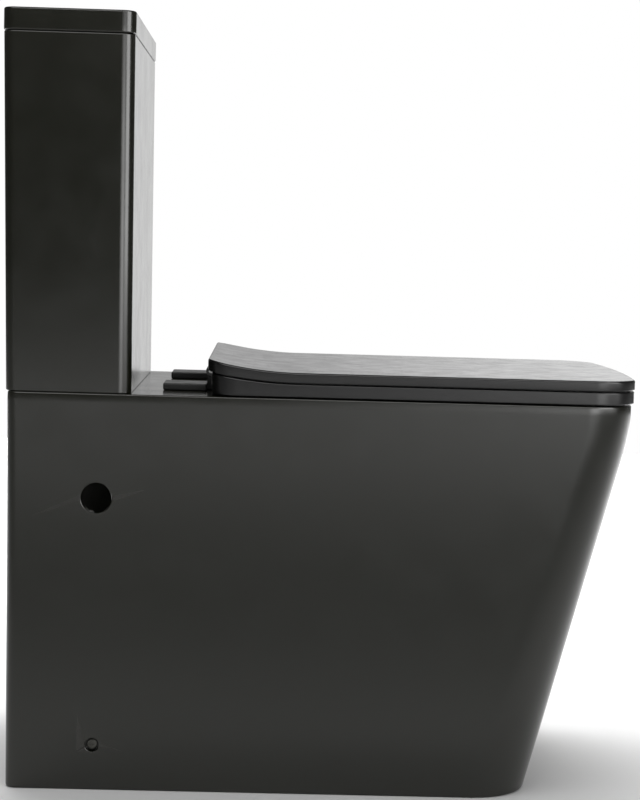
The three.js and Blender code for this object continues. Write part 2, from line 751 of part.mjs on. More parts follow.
// Along the hinge line, from the middle outwards: the fixed block, the ring's ear and the lid's ear.
const BLOCK_SPAN = [62, 95];
const RING_EAR = [98, 112];
const LID_EAR = [113, 127];
const EAR_RADIUS = 5.5;
const PIN_RADIUS = 2.5;
const HINGE_LINE = [HINGE.y, HINGE.z];
const HINGE_BORE = PIN_RADIUS + GAP;

function hingeBores() {
  return bothSides((side) => sideBar(side, HINGE_BORE, [90, 130], HINGE_LINE, 16));
}

// A thin moulding, open underneath, with an ear on each side for the hinge pins.
function seatLid() {
  const plan = (inset) => outline(SEAT_PLAN, inset);
  const patch = (share) => scaled(plan(7), share, SEAT_MIDDLE);
  const shares = [0.35, 0.7, 0.9];
  const rings = [
    ...shares.map((share) => ring(patch(share), lidTop(SHELL))),
    ring(plan(7), lidTop(SHELL)),
    ring(plan(6), lidBottom(0)),
    ring(plan(1), lidBottom(0)),
    ring(plan(0), lidBottom(1)),
    ring(plan(0), lidTop(4)),
    ring(plan(1.2), lidTop(1.2)),
    ring(plan(4), lidTop(0)),
    ...shares.toReversed().map((share) => ring(patch(share), lidTop(0))),
  ];
  const clearances = bothSides((side) =>
    sideBox(side, [BLOCK_SPAN[0] - 2, HINGE.y - 9, 440], [RING_EAR[1] + 0.5, 130, HINGE.z + 8.5]),
  );
  const ears = bothSides((side) =>
    join(
      sideBar(side, EAR_RADIUS, LID_EAR, HINGE_LINE, 16),
      sideBox(side, [LID_EAR[0], HINGE.y - 5.4, HINGE.z], [LID_EAR[1], HINGE.y + 2, 463]),
    ),
  );
  return cut(join(cut(loft(rings), ...clearances), ...ears), ...hingeBores());
}

const BUMPER_RADIUS = 8;
const BUMPER_POCKET = 4.5; // depth of a bumper's pocket in the ring
const RING_BUMPERS = [[-148, -240], [148, -240], [-140, 60], [140, 60]];
const LID_BUMPERS = [[-148, -190], [148, -190]];

// A flat ring whose inner edge falls away, with pockets for the bumpers underneath.
function seatRing() {
  const outer = (inset) => outline(RING_PLAN, inset);
  const hole = (grow) => outline(RING_HOLE, -grow);
  const top = (drop) => (y) => RING_TOP + FOLLOW * rise(y) - drop;
  const rings = [
    ring(outer(3), RING_BOTTOM),
    ring(outer(0), RING_BOTTOM + 3),
    ring(outer(0), top(1.5)),
    ring(outer(1.5), top(0)),
    ring(hole(12), top(0)),
    ring(hole(4), top(2)),
    ring(hole(0), top(6)),
    ring(hole(2), RING_BOTTOM),
  ];
  const ears = bothSides((side) => sideBar(side, EAR_RADIUS, RING_EAR, HINGE_LINE, 16));
  const pockets = RING_BUMPERS.map((place) => {
    return post(BUMPER_RADIUS + GAP, RING_BOTTOM - THROUGH, RING_BOTTOM + BUMPER_POCKET, place, 16);
  });
  const clearances = bothSides((side) =>
    join(
      sideBox(side, [BLOCK_SPAN[0] - 4, HINGE.y - 12, 420], [RING_EAR[0] - 0.5, 130, 480]),
      sideBar(side, EAR_RADIUS + 0.5, [RING_EAR[1] + 0.5, LID_EAR[1] + 0.5], HINGE_LINE, 16),
    ),
  );
  return cut(join(cut(loft(rings, true), ...pockets, ...clearances), ...ears), ...hingeBores());
}

const FOOT = { x0: 62, x1: 113, front: 126, back: 173.5, height: 7.5, round: 5 }; // of a hinge block

// A low foot bolted to the deck behind the seat, with an upright in front that carries the pin.
function hingeBlock(side) {
  const bottom = RIM_HEIGHT + GAP;
  const [x0, x1] = BLOCK_SPAN;
  const shape = new THREE.Shape();
  shape.moveTo(x0, HINGE.y - 5);
  shape.lineTo(x1, HINGE.y - 5);
  shape.lineTo(x1, FOOT.front);
  shape.lineTo(FOOT.x1, FOOT.front);
  shape.lineTo(FOOT.x1, FOOT.back - FOOT.round);
  shape.absarc(FOOT.x1 - FOOT.round, FOOT.back - FOOT.round, FOOT.round, 0, Math.PI / 2);
  shape.absarc(FOOT.x0 + FOOT.round, FOOT.back - FOOT.round, FOOT.round, Math.PI / 2, Math.PI);
  shape.closePath();
  const made = cut(
    join(
      solid(extruded(shape, FOOT.height, 4).translate(0, 0, bottom)),
      box([x0, HINGE.y - 5, bottom + 2], [x1, HINGE.y + 5, HINGE.z]),
      bar(5, x0, x1, HINGE_LINE, 16),
    ),
    bar(HINGE_BORE, x0 - THROUGH, x1 + THROUGH, HINGE_LINE, 16),
    post(8.2, bottom - THROUGH, bottom + 5.2, [HINGE.x, HINGE_BOLT_Y], 16),
  );
  return side > 0 ? made : made.mirror([1, 0, 0]);
}

// A flanged nut that is turned by hand from under the deck.
function seatNut() {
  return turned([[3.3, 0], [7, 0], [11, 3], [11, 10], [3.3, 10]], 12);
}

// ---------------------------------------------------------------- floor fixing
const BRACKET_X = [94, 137];

// An angle that is screwed to the floor inside the pan.
function floorBracket(side) {
  const [x0, x1] = BRACKET_X;
  const base = box([x0, -15, GAP], [x1, 15, 5]);
  const upright = box([x1 - 7, -15, GAP], [x1, 15, 64]);
  const boss = post(10, GAP, 9, [x0 + 12, 0], 16);
  const made = cut(
    join(base, upright, boss),
    post(3, -THROUGH, 20, [x0 + 12, 0], 12),
    bar(3.6, x0, x1 + 10, [0, FIXING_Z], 12),
  );
  return side > 0 ? made : made.mirror([1, 0, 0]);
}

// A slotted screw along X that ties the pan to the bracket. Its head lies in the pan's small side hole.
function sideScrew(side) {
  const head = SCREW_SEAT_X + GAP;
  const made = cut(
    join(bar(3, BRACKET_X[1] - 12, head + 1, [0, 0], 12), bar(6, head, head + 4, [0, 0], 16)),
    box([head + 3, -8, -0.8], [head + 6, 8, 0.8]), // slot
  );
  return side > 0 ? made : made.mirror([1, 0, 0]);
}

// ---------------------------------------------------------------- assembly
const SIDES = [["left", -1], ["right", 1]];
const FLUSHES = [["full", -1], ["half", 1]];
const deckBottom = RIM_HEIGHT - DECK_THICKNESS;

add("pan", pan(), ceramic);
add("cistern_tank", cisternTank(), ceramic);
add("cistern_lid", cisternLid(), ceramic);

const buttonPlace = [0, VALVE_Y, TOTAL_HEIGHT];
add("button_bezel", buttonBezel(), hingePlastic, buttonPlace);
add("button_lock_nut", buttonNut(), whitePlastic, buttonPlace);
for (const [name, side] of FLUSHES) {
  add(`${name}_flush_button`, flushButton(side), hingePlastic, buttonPlace);
  add(`${name}_flush_rod`, flushRod(side), whitePlastic, buttonPlace);
  add(`${name}_button_spring`, buttonSpring(side), steel, buttonPlace);
}

const valvePlace = [0, VALVE_Y, 0];
add("flush_valve_base", flushValveBase(), whitePlastic, valvePlace);
add("flush_valve_tower", flushValveTower(), bluePlastic, valvePlace);
add("flush_valve_washer", hoop(29.5, 41, TANK_INSIDE + 0.15, TANK_INSIDE + 3, 18), rubber, valvePlace);
add("flush_valve_nut", hexNut(38, 29 + GAP, 12), whitePlastic, [0, VALVE_Y, TANK_BOTTOM - 12 - GAP]);
add("overflow_tube", overflowTube(), whitePlastic, valvePlace);
add("flush_seal", flushSeal(), rubber, valvePlace);
add("half_flush_float", halfFlushFloat(), redPlastic, valvePlace);
for (const [name, side] of FLUSHES) {
  add(`${name}_flush_lever`, flushLever(side), side < 0 ? whitePlastic : redPlastic, valvePlace);
  add(`${name}_lever_pin`, leverPin(side), steel, valvePlace);
}

const fillPlace = [FILL_X, VALVE_Y, 0];
add("fill_valve", fillValveBody(), whitePlastic, fillPlace);
add("fill_valve_washer", hoop(10 + GAP, 18, TANK_INSIDE + 0.15, TANK_INSIDE + 3, 20), rubber, fillPlace);
add("fill_valve_nut", hexNut(16, 10 + GAP, 12), whitePlastic, [FILL_X, VALVE_Y, TANK_BOTTOM - 12 - GAP]);
add("fill_arm", fillArm(), redPlastic, fillPlace);
add("fill_arm_pin", fillArmPin(), steel, fillPlace);
add("fill_float", fillFloat(), bluePlastic, fillPlace);

add("coupling_gasket", couplingGasket(), rubber, valvePlace);
for (const [name, side] of SIDES) {
  const at = (z) => [side * COUPLING_X, VALVE_Y, z];
  const bore = BOLT_RADIUS + GAP;
  add(`coupling_bolt_${name}`, bolt(9, 5, BOLT_RADIUS, 62), brass, at(FLANGE_Z));
  add(`coupling_washer_${name}`, hoop(bore, 13, 0.15, 3, 12), rubber, at(TANK_INSIDE));
  add(`coupling_plate_${name}`, hoop(bore, 15, -2.8, -GAP, 12), steel, at(deckBottom));
  add(`coupling_nut_${name}`, wingNut(), brass, at(deckBottom - 8.1));
}

add("seat_ring", seatRing(), seatPlastic);
add("seat_lid", seatLid(), seatPlastic);
for (const [name, side] of SIDES) {
  add(`hinge_block_${name}`, hingeBlock(side), hingePlastic);
  add(`hinge_pin_${name}`, sideBar(side, PIN_RADIUS, [64, LID_EAR[1] - 1], HINGE_LINE, 12), steel);
  const at = (z) => [side * HINGE.x, HINGE_BOLT_Y, z];
  add(`seat_bolt_${name}`, bolt(7.6, 4.4, 3, 42), steel, at(RIM_HEIGHT + GAP));
  add(`seat_nut_${name}`, seatNut(), whitePlastic, at(deckBottom - 10 - GAP));
}

// rubber bumpers: front and back pairs under the ring, one pair under the lid
RING_BUMPERS.forEach(([x, y], i) => {
  const name = ["front_left", "front_right", "rear_left", "rear_right"][i];
  const height = RING_BOTTOM + BUMPER_POCKET - GAP - (RIM_HEIGHT + GAP);
  add(`ring_bumper_${name}`, post(BUMPER_RADIUS, 0, height, [0, 0], 16), rubber, [x, y, RIM_HEIGHT + GAP]);
});
LID_BUMPERS.forEach(([x, y], i) => {
  const bottom = RING_TOP + GAP;
  const height = LID_TOP - SHELL - GAP - bottom;
  add(`lid_bumper_${SIDES[i][0]}`, post(6, 0, height, [0, 0], 14), rubber, [x, y, bottom]);
});

for (const [name, side] of SIDES) {
  add(`floor_bracket_${name}`, floorBracket(side), whitePlastic, [0, ACCESS_Y, 0]);
  add(`side_screw_${name}`, sideScrew(side), steel, [0, ACCESS_Y, FIXING_Z]);
}

export default toilet;
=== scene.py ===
# A close coupled toilet in satin black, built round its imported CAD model.
# Metres, +Z up, front towards -Y, origin on the floor in the middle of the plan.
import math

import bmesh
import bpy
from mathutils import Matrix, Vector
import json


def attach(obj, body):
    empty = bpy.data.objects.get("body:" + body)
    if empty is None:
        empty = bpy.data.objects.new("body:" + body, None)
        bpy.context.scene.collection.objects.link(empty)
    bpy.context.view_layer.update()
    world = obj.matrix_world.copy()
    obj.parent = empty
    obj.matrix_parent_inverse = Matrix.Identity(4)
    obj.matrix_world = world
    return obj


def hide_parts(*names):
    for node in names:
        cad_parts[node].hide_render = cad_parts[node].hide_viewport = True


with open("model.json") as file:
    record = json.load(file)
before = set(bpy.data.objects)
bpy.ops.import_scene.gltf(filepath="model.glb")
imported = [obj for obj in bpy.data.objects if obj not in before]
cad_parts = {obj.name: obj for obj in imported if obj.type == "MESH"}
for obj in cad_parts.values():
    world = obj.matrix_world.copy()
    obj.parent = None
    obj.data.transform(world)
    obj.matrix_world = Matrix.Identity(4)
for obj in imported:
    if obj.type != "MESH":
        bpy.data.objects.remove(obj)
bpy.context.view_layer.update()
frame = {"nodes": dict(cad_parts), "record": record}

MM = 0.001

# ---------------------------------------------------------------- driving dimensions, in millimetres
WIDTH = 365
DEPTH = 690
RIM_HEIGHT = 428.5
TANK_TOP = 806
TOTAL_HEIGHT = 830
HALF = WIDTH / 2
FRONT = -DEPTH / 2
BACK = DEPTH / 2

CERAMIC = 12  # thickness of the pan's walls
DECK_THICKNESS = 14
TANK_WALL = 9
TANK_BOTTOM = RIM_HEIGHT + 1.5
TANK_FLOOR = 12
TANK_INSIDE = TANK_BOTTOM + TANK_FLOOR
BEYOND = 5  # how far a cutter stands past the surface that it cuts

VALVE_Y = 274  # centre line of all that passes through the cistern's floor
COUPLING_X = 88
FILL_X = 128
ACCESS_Y = 238  # the side holes, one above the other
ACCESS_Z = 317
FIXING_Z = 49
SCREW_SEAT_X = 170
OUTLET_Z = 185
OUTLET_END = 321

HINGE = Vector((78.5, 121, 452))  # the right-hand one's middle
HINGE_BOLT_Y = 144


# ---------------------------------------------------------------- mesh making
def mesh_object(name, bm):
    """A bmesh in millimetres as an object in metres."""
    bmesh.ops.scale(bm, vec=(MM, MM, MM), verts=bm.verts)
    bmesh.ops.recalc_face_normals(bm, faces=bm.faces)
    mesh = bpy.data.meshes.new(name)
    bm.to_mesh(mesh)
    bm.free()
    obj = bpy.data.objects.new(name, mesh)
    bpy.context.scene.collection.objects.link(obj)
    return obj


def loft_bmesh(rings, closed=False):
    """A skin over rings of equally many points, capped unless it closes on itself."""
    bm = bmesh.new()
    rows = [[bm.verts.new(p) for p in ring] for ring in rings]
    count = len(rows[0])
    pairs = list(zip(rows, rows[1:]))
    if closed:
        pairs.append((rows[-1], rows[0]))
    for low, high in pairs:
        for i in range(count):
            j = (i + 1) % count
            bm.faces.new((low[i], low[j], high[j], high[i]))
    if not closed:
        bm.faces.new(rows[0])
        bm.faces.new(rows[-1])
    return bm


def loft(name, rings):
    return mesh_object(name, loft_bmesh(rings))


def flat(points, z):
    return [(x, y, z) for x, y in points]


CORNER_STEPS = 14
EDGE_STEPS = 8


def outline(half, front, back, front_radius, back_radius, bulge=0, inset=0):
    """A rectangle with rounded corners and a bowed front, anticlockwise from the middle of the front."""
    side, near, far = half - inset, front + inset, back - inset
    rf, rb = max(front_radius - inset, 1), max(back_radius - inset, 1)
    right = []
    for i in range(EDGE_STEPS):
        t = i / EDGE_STEPS
        right.append((t * (side - rf), near + bulge * t * t))
    for i in range(CORNER_STEPS + 1):
        a = (i / CORNER_STEPS - 1) * math.pi / 2
        right.append((side - rf + rf * math.cos(a), near + bulge + rf + rf * math.sin(a)))
    for i in range(1, EDGE_STEPS):
        start, end = near + bulge + rf, far - rb
        right.append((side, start + (end - start) * i / EDGE_STEPS))
    for i in range(CORNER_STEPS + 1):
        a = i / CORNER_STEPS * math.pi / 2
        right.append((side - rb + rb * math.cos(a), far - rb + rb * math.sin(a)))
    right.append((0, far))
    return right + [(-x, y) for x, y in reversed(right[1:-1])]


def quarter(steps):
    """(cosine, sine) pairs over a quarter turn, without its start."""
    angles = [(i + 1) / steps * math.pi / 2 for i in range(steps)]
    return [(math.cos(a), math.sin(a)) for a in angles]


def turned(name, profile, centre=(0, 0), sides=96):
    """A turned solid about an upright axis. The profile is a list of (radius, height) pairs.

    It starts and ends on the axis, or it closes on itself.
    """
    bm = bmesh.new()
    closed = profile[0][0] > 0
    rows = []
    for radius, z in profile:
        if radius <= 0:
            rows.append([bm.verts.new((centre[0], centre[1], z))])
            continue
        angles = [2 * math.pi * i / sides for i in range(sides)]
        row = [(centre[0] + radius * math.cos(a), centre[1] + radius * math.sin(a), z) for a in angles]
        rows.append([bm.verts.new(p) for p in row])
    pairs = list(zip(rows, rows[1:]))
    if closed:
        pairs.append((rows[-1], rows[0]))
    for low, high in pairs:
        for i in range(sides):
            j = (i + 1) % sides
            corners = [low[i % len(low)], low[j % len(low)], high[j % len(high)], high[i % len(high)]]
            unique = list(dict.fromkeys(corners))
            if len(unique) > 2:
                bm.faces.new(unique)
    return mesh_object(name, bm)


def cylinder(name, radius, low, high, centre=(0, 0), sides=96):
    return turned(name, [(0, low), (radius, low), (radius, high), (0, high)], centre, sides)


def place(obj, matrix):
    """Moves an object's own vertices by a matrix whose lengths are millimetres."""
    scaled = matrix.copy()
    scaled.translation = matrix.translation * MM
    obj.data.transform(scaled)
    return obj


def upright(obj, x, y):
    return place(obj, Matrix.Translation((x, y, 0)))


def sideways(obj, side, y, z):
    """Turns an upright piece so that its +Z looks outwards along X on that side."""
    return place(obj, Matrix.Translation((0, y, z)) @ Matrix.Rotation(side * math.pi / 2, 4, "Y"))


def backwards(obj, z):
    """Turns an upright piece so that its +Z looks backwards along +Y, in the middle of the plan."""
    return place(obj, Matrix.Translation((0, 0, z)) @ Matrix.Rotation(-math.pi / 2, 4, "X"))


def box(name, low, high, bevel=0, segments=3):
    bm = bmesh.new()
    bmesh.ops.create_cube(bm, size=1)
    size = [b - a for a, b in zip(low, high)]
    middle = [(a + b) / 2 for a, b in zip(low, high)]
    bmesh.ops.scale(bm, vec=size, verts=bm.verts)
    bmesh.ops.translate(bm, vec=middle, verts=bm.verts)
    if bevel:
        edges = list(bm.edges)
        bmesh.ops.bevel(bm, geom=edges, offset=bevel, segments=segments, profile=0.5, affect="EDGES")
    return mesh_object(name, bm)


def apply_modifiers(obj):
    """Bakes an object's modifiers into its mesh."""
    bpy.context.view_layer.update()
    evaluated = obj.evaluated_get(bpy.context.evaluated_depsgraph_get())
    mesh = bpy.data.meshes.new_from_object(evaluated)
    obj.modifiers.clear()
    old = obj.data
    obj.data = mesh
    bpy.data.meshes.remove(old)
    return obj


def combine(obj, *others, operation="DIFFERENCE"):
    """Cuts the others out of an object, or joins them to it, and deletes them."""
    for other in others:
        modifier = obj.modifiers.new("combine", "BOOLEAN")
        modifier.operation = operation
        modifier.object = other
        modifier.solver = "MANIFOLD"
    apply_modifiers(obj)
    for other in others:
        mesh = other.data
        bpy.data.objects.remove(other)
        bpy.data.meshes.remove(mesh)
    return obj


def join(obj, *others):
    return combine(obj, *others, operation="UNION")


def soften(obj, width, angle=40):
    """Rounds an object's sharp edges a little. The width is in millimetres."""
    modifier = obj.modifiers.new("soften", "BEVEL")
    modifier.width = width * MM
    modifier.segments = 3
    modifier.limit_method = "ANGLE"
    modifier.angle_limit = math.radians(angle)
    return apply_modifiers(obj)


def smooth(obj, angle=32):
    """Smooth shading between faces that meet at less than the angle, led by the large faces."""
    obj.data.shade_smooth()
    obj.data.set_sharp_from_angle(angle=math.radians(angle))
    modifier = obj.modifiers.new("normals", "WEIGHTED_NORMAL")
    modifier.keep_sharp = True
    modifier.weight = 80
    return apply_modifiers(obj)


def piece(obj, body, material, slot, *nodes):
    """Makes an object a piece: what it is made of, what it rides on and which CAD nodes it stands for."""
    obj.data.materials.clear()
    obj.data.materials.append(material)
    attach(obj, body)
    if nodes:
        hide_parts(*nodes)
    return obj


# ---------------------------------------------------------------- materials
class NodeTree:
    """What materials and the world have in common. Each keeps its nodes and its links."""

    def math(self, operation, a, b):
        """The result of an operation on two values, each a number or another node's output."""
        node = self.nodes.new("ShaderNodeMath")
        node.operation = operation
        for socket, value in zip(node.inputs, (a, b)):
            if isinstance(value, (int, float)):
                socket.default_value = value
            else:
                self.links.new(value, socket)
        return node.outputs["Value"]

    def remap(self, value, start, end, low=0.0, high=1.0, kind="LINEAR"):
        """From low to high while the value goes from start to end."""
        node = self.nodes.new("ShaderNodeMapRange")
        node.interpolation_type = kind
        for socket, number in zip(("From Min", "From Max", "To Min", "To Max"), (start, end, low, high)):
            node.inputs[socket].default_value = number
        self.links.new(value, node.inputs["Value"])
        return node.outputs["Result"]


class Material(NodeTree):
    """A node material built on one Principled shader."""

    def __init__(self, name, metallic=0.0, specular=0.5, ior=1.5):
        self.material = bpy.data.materials.new(name)
        self.material.use_nodes = True
        self.nodes = self.material.node_tree.nodes
        self.links = self.material.node_tree.links
        self.shader = self.nodes["Principled BSDF"]
        self.shader.inputs["Metallic"].default_value = metallic
        self.shader.inputs["Specular IOR Level"].default_value = specular
        self.shader.inputs["IOR"].default_value = ior
        self.coordinates = self.nodes.new("ShaderNodeTexCoord").outputs["Object"]

    def stretched(self, scale):
        """The object's coordinates, scaled differently along each axis."""
        mapping = self.nodes.new("ShaderNodeMapping")
        mapping.inputs["Scale"].default_value = scale
        self.links.new(self.coordinates, mapping.inputs["Vector"])
        return mapping.outputs["Vector"]

    def noise(self, scale, detail=4, roughness=0.55, vector=None):
        node = self.nodes.new("ShaderNodeTexNoise")
        node.inputs["Scale"].default_value = scale
        node.inputs["Detail"].default_value = detail
        node.inputs["Roughness"].default_value = roughness
        self.links.new(vector or self.coordinates, node.inputs["Vector"])
        return node.outputs["Fac"]

    def blend(self, factor, a, b):
        """A colour between two, each given as a colour or as another blend's output."""
        node = self.nodes.new("ShaderNodeMix")
        node.data_type = "RGBA"
        self.links.new(factor, node.inputs["Factor"])
        for socket, value in zip((node.inputs["A"], node.inputs["B"]), (a, b)):
            if isinstance(value, tuple):
                socket.default_value = (*value, 1)
            else:
                self.links.new(value, socket)
        return node.outputs["Result"]

    def edges(self):
        """1 along sharp convex edges, 0 elsewhere. On the glaze this mask paints a highlight along the
        edges.
        """
        pointiness = self.nodes.new("ShaderNodeNewGeometry").outputs["Pointiness"]
        return self.remap(pointiness, 0.51, 0.56)

    def colour(self, value):
        self.links.new(value, self.shader.inputs["Base Color"])

    def roughness(self, value):
        self.links.new(value, self.shader.inputs["Roughness"])

    def bump(self, *layers):
        """Bumps, each a (height, strength, distance in metres), one on another."""
        normal = None
        for height, strength, distance in layers:
            node = self.nodes.new("ShaderNodeBump")
            node.inputs["Strength"].default_value = strength
            node.inputs["Distance"].default_value = distance
            self.links.new(height, node.inputs["Height"])
            if normal:
                self.links.new(normal, node.inputs["Normal"])
            normal = node.outputs["Normal"]
        self.links.new(normal, self.shader.inputs["Normal"])


def glaze():
    """Satin black glaze: a faint cloudiness, an orange-peel skin, and a painted highlight along its edges.
    """
    m = Material("satin_black_glaze", ior=1.6)
    cloud = m.noise(6, 3)
    speck = m.remap(m.noise(900, 2), 0.68, 0.74)
    colour = m.blend(cloud, (0.0095, 0.0101, 0.0055), (0.0125, 0.0132, 0.0075))
    colour = m.blend(m.math("MULTIPLY", speck, 0.25), colour, (0.035, 0.034, 0.03))
    # painted highlight: the colour turns paler along sharp edges, where the edges should catch light
    colour = m.blend(m.math("MULTIPLY", m.edges(), 0.35), colour, (0.04, 0.038, 0.034))
    m.colour(colour)
    m.roughness(m.remap(m.noise(22, 5), 0.3, 0.7, 0.17, 0.22))
    m.bump((m.noise(5, 1), 0.03, 0.0008), (m.noise(420, 2), 0.03, 0.0002))
    return m.material


def thermoset():
    """The seat's black moulded thermoset, smoother than the glaze and with faint rub marks."""
    m = Material("satin_black_thermoset")
    colour = m.blend(m.noise(14, 3), (0.0085, 0.0085, 0.0085), (0.012, 0.012, 0.012))
    rub = m.remap(m.noise(30, 6, 0.7, m.stretched((1, 7, 3))), 0.55, 0.75)
    colour = m.blend(m.math("MULTIPLY", rub, 0.3), colour, (0.028, 0.028, 0.028))
    m.colour(colour)
    skin = m.remap(m.noise(40, 5), 0.3, 0.7, 0.18, 0.24)
    m.roughness(m.math("ADD", skin, m.math("MULTIPLY", rub, 0.05)))
    m.bump((m.noise(6, 1), 0.03, 0.0006), (m.noise(1600, 2), 0.04, 0.0001))
    return m.material


def moulded(name, dark, light, roughness):
    """Injection-moulded plastic: slightly uneven colour, fine grain and paler edges."""
    m = Material(name)
    colour = m.blend(m.noise(25, 4), dark, light)
    pale = tuple(min(1.0, 1.25 * c + 0.01) for c in light)
    colour = m.blend(m.math("MULTIPLY", m.edges(), 0.4), colour, pale)
    m.colour(colour)
    m.roughness(m.remap(m.noise(60, 4), 0.3, 0.7, roughness - 0.05, roughness + 0.06))
    m.bump((m.noise(1300, 3), 0.12, 0.0002))
    return m.material


def rubber():
    m = Material("nitrile_rubber", specular=0.3)
    bloom = m.remap(m.noise(45, 6, 0.65), 0.5, 0.72)
    m.colour(m.blend(bloom, (0.011, 0.011, 0.011), (0.03, 0.03, 0.029)))
    m.roughness(m.remap(bloom, 0, 1, 0.62, 0.8))
    m.bump((m.noise(800, 4), 0.3, 0.0003))
    return m.material


def metal(name, dark, light, roughness):
    """Bare metal with fine drawn lines and a dull film in patches."""
    m = Material(name, metallic=1.0)
    film = m.remap(m.noise(70, 6, 0.65), 0.45, 0.75)
    m.colour(m.blend(film, light, dark))
    lines = m.noise(700, 3, 0.6, m.stretched((1, 1, 12)))
    drawn = m.remap(lines, 0.3, 0.7, roughness - 0.06, roughness + 0.08)
    m.roughness(m.math("ADD", drawn, m.math("MULTIPLY", film, 0.12)))
    m.bump((lines, 0.12, 0.0001))
    return m.material


GLAZE = glaze()
THERMOSET = thermoset()
BLACK_PLASTIC = moulded("satin_black_plastic", (0.007, 0.007, 0.007), (0.011, 0.011, 0.011), 0.38)
RUBBER = rubber()
STEEL = metal("stainless_steel", (0.33, 0.33, 0.32), (0.56, 0.56, 0.55), 0.28)
# painted shade: a darker copy of the stainless steel, standing in for the shade on the screws sunk in their
# holes
SHADE_DARK_STEEL = metal("shade_dark_steel", (0.06, 0.06, 0.055), (0.11, 0.11, 0.1), 0.34)
BRASS = metal("plain_brass", (0.36, 0.22, 0.07), (0.6, 0.42, 0.16), 0.3)
SLOTS = {
    "ceramic": GLAZE,
    "seat_plastic": THERMOSET,
    "black_plastic": BLACK_PLASTIC,
    "white_plastic": moulded("white_acetal", (0.68, 0.68, 0.63), (0.78, 0.78, 0.74), 0.42),
    "blue_plastic": moulded("blue_polypropylene", (0.03, 0.11, 0.26), (0.045, 0.15, 0.34), 0.45),
    "red_plastic": moulded("red_acetal", (0.33, 0.035, 0.025), (0.42, 0.05, 0.035), 0.4),
    "rubber": RUBBER,
    "steel": STEEL,
    "brass": BRASS,
}

# the CAD nodes that stay get the same finishes, smoothed across their facets
for entry in frame["record"]["subparts"]:
    node = frame["nodes"][entry["node"]]
    node.data.materials.clear()
    node.data.materials.append(SLOTS[entry["material_slot"]])
    node.data.shade_smooth()
    node.data.set_sharp_from_angle(angle=math.radians(35))


# ---------------------------------------------------------------- pan
SLOPE = 0.2545  # how far the front runs back for each millimetre down
SLOPE_START = 399
SLOPE_BLEND = 28  # either side of the start, a curve
DRAFT = 5  # how far each side leans in at the foot
FRONT_GAP = 2  # pan behind the seat's front
PAN_BACK = 335
RIM_ROUND = 1.8
RIM_DRAFT = 10  # height over which the rim leans in
RIM_LEAN = 0.0041  # millimetres in for each square millimetre up
FOOT_EDGE = 2.5
BASIN_EDGE = 7
INLET_RADIUS = 46
INLET_FLOOR = 399
DUCT = {"half": 34, "bottom": 345, "top": 384}
TRAP_BORE = 28  # radius
TRAP_WALL = 11
SPIGOT = 51  # radius outside
SPIGOT_BORE = 43  # radius inside
SPIGOT_START = 262
DRILLED = 30  # how deep below the rim the deck is drilled
BACK_OPENING = {"half": 112, "top": 335}


def setback(z):
    """How far the pan's front stands back from the rim at a height."""
    t = (SLOPE_START + SLOPE_BLEND - z) / (2 * SLOPE_BLEND)
    if t <= 0:
        return 0
    if t < 1:
        return SLOPE * SLOPE_BLEND * t * t
    return SLOPE * (SLOPE_START - z)


def wall_x(z):
    """Half the pan's width outside, at a height."""
    return HALF - DRAFT * (1 - z / RIM_HEIGHT)


def pan_plan(z, inset=0):
    """The pan's outline at a height."""
    down = 1 - z / RIM_HEIGHT
    front = FRONT + FRONT_GAP + setback(z)
    return outline(wall_x(z), front, PAN_BACK - 4 * down, 54 + 10 * down, 12, bulge=6, inset=inset)


def pan_outside():
    rings = []
    for c, s in [(1, 0)] + quarter(4):
        z = FOOT_EDGE * (1 - c)
        rings.append(flat(pan_plan(z, FOOT_EDGE * (1 - s)), z))
    start, end = RIM_HEIGHT - RIM_DRAFT, RIM_HEIGHT - RIM_ROUND
    # closer together where the front bends
    for z in [*range(40, 331, 50), 330, 352, 364, *range(371, 414, 7), start]:
        rings.append(flat(pan_plan(z), z))
    # the top leans in a little before its edge turns over
    steps = 4
    for i in range(1, steps + 1):
        rise = (end - start) * i / steps
        rings.append(flat(pan_plan(start + rise, RIM_LEAN * rise * rise), start + rise))
    lean = RIM_LEAN * (end - start) ** 2
    for c, s in quarter(5):
        rings.append(flat(pan_plan(RIM_HEIGHT, lean + RIM_ROUND * (1 - c)), end + RIM_ROUND * s))
    return loft("pan_body", rings)


def pan_hollow():
    levels = [-10, 0, 100, 200, 300, 370, 400, RIM_HEIGHT - DECK_THICKNESS]
    return loft("hollow", [flat(pan_plan(max(z, 0), CERAMIC), z) for z in levels])


# heights, half widths, fronts and backs of the basin
BASIN = [
    (82, 26, -62, 14), (92, 38, -82, 24), (130, 58, -122, 31), (190, 82, -182, 37), (270, 106, -250, 40),
    (350, 123, -287, 43), (405, 129, -296, 44), (RIM_HEIGHT + BEYOND, 127, -294, 43),
]


def along_curve(points, i, t):
    """A smooth curve through points, at a share t of the way from point i to the next."""
    last = len(points) - 1
    a, b, c, d = (points[max(0, min(last, i + k))] for k in (-1, 0, 1, 2))
    return b + 0.5 * t * (c - a + t * (2 * a - 5 * b + 4 * c - d + t * (3 * (b - c) + d - a)))


def basin_at(z):
    """The basin's half width, front and back at a height."""
    i = next((k for k in range(len(BASIN) - 2) if z < BASIN[k + 1][0]), len(BASIN) - 2)
    t = (z - BASIN[i][0]) / (BASIN[i + 1][0] - BASIN[i][0])
    return [along_curve(measures, i, t) for measures in list(zip(*BASIN))[1:]]


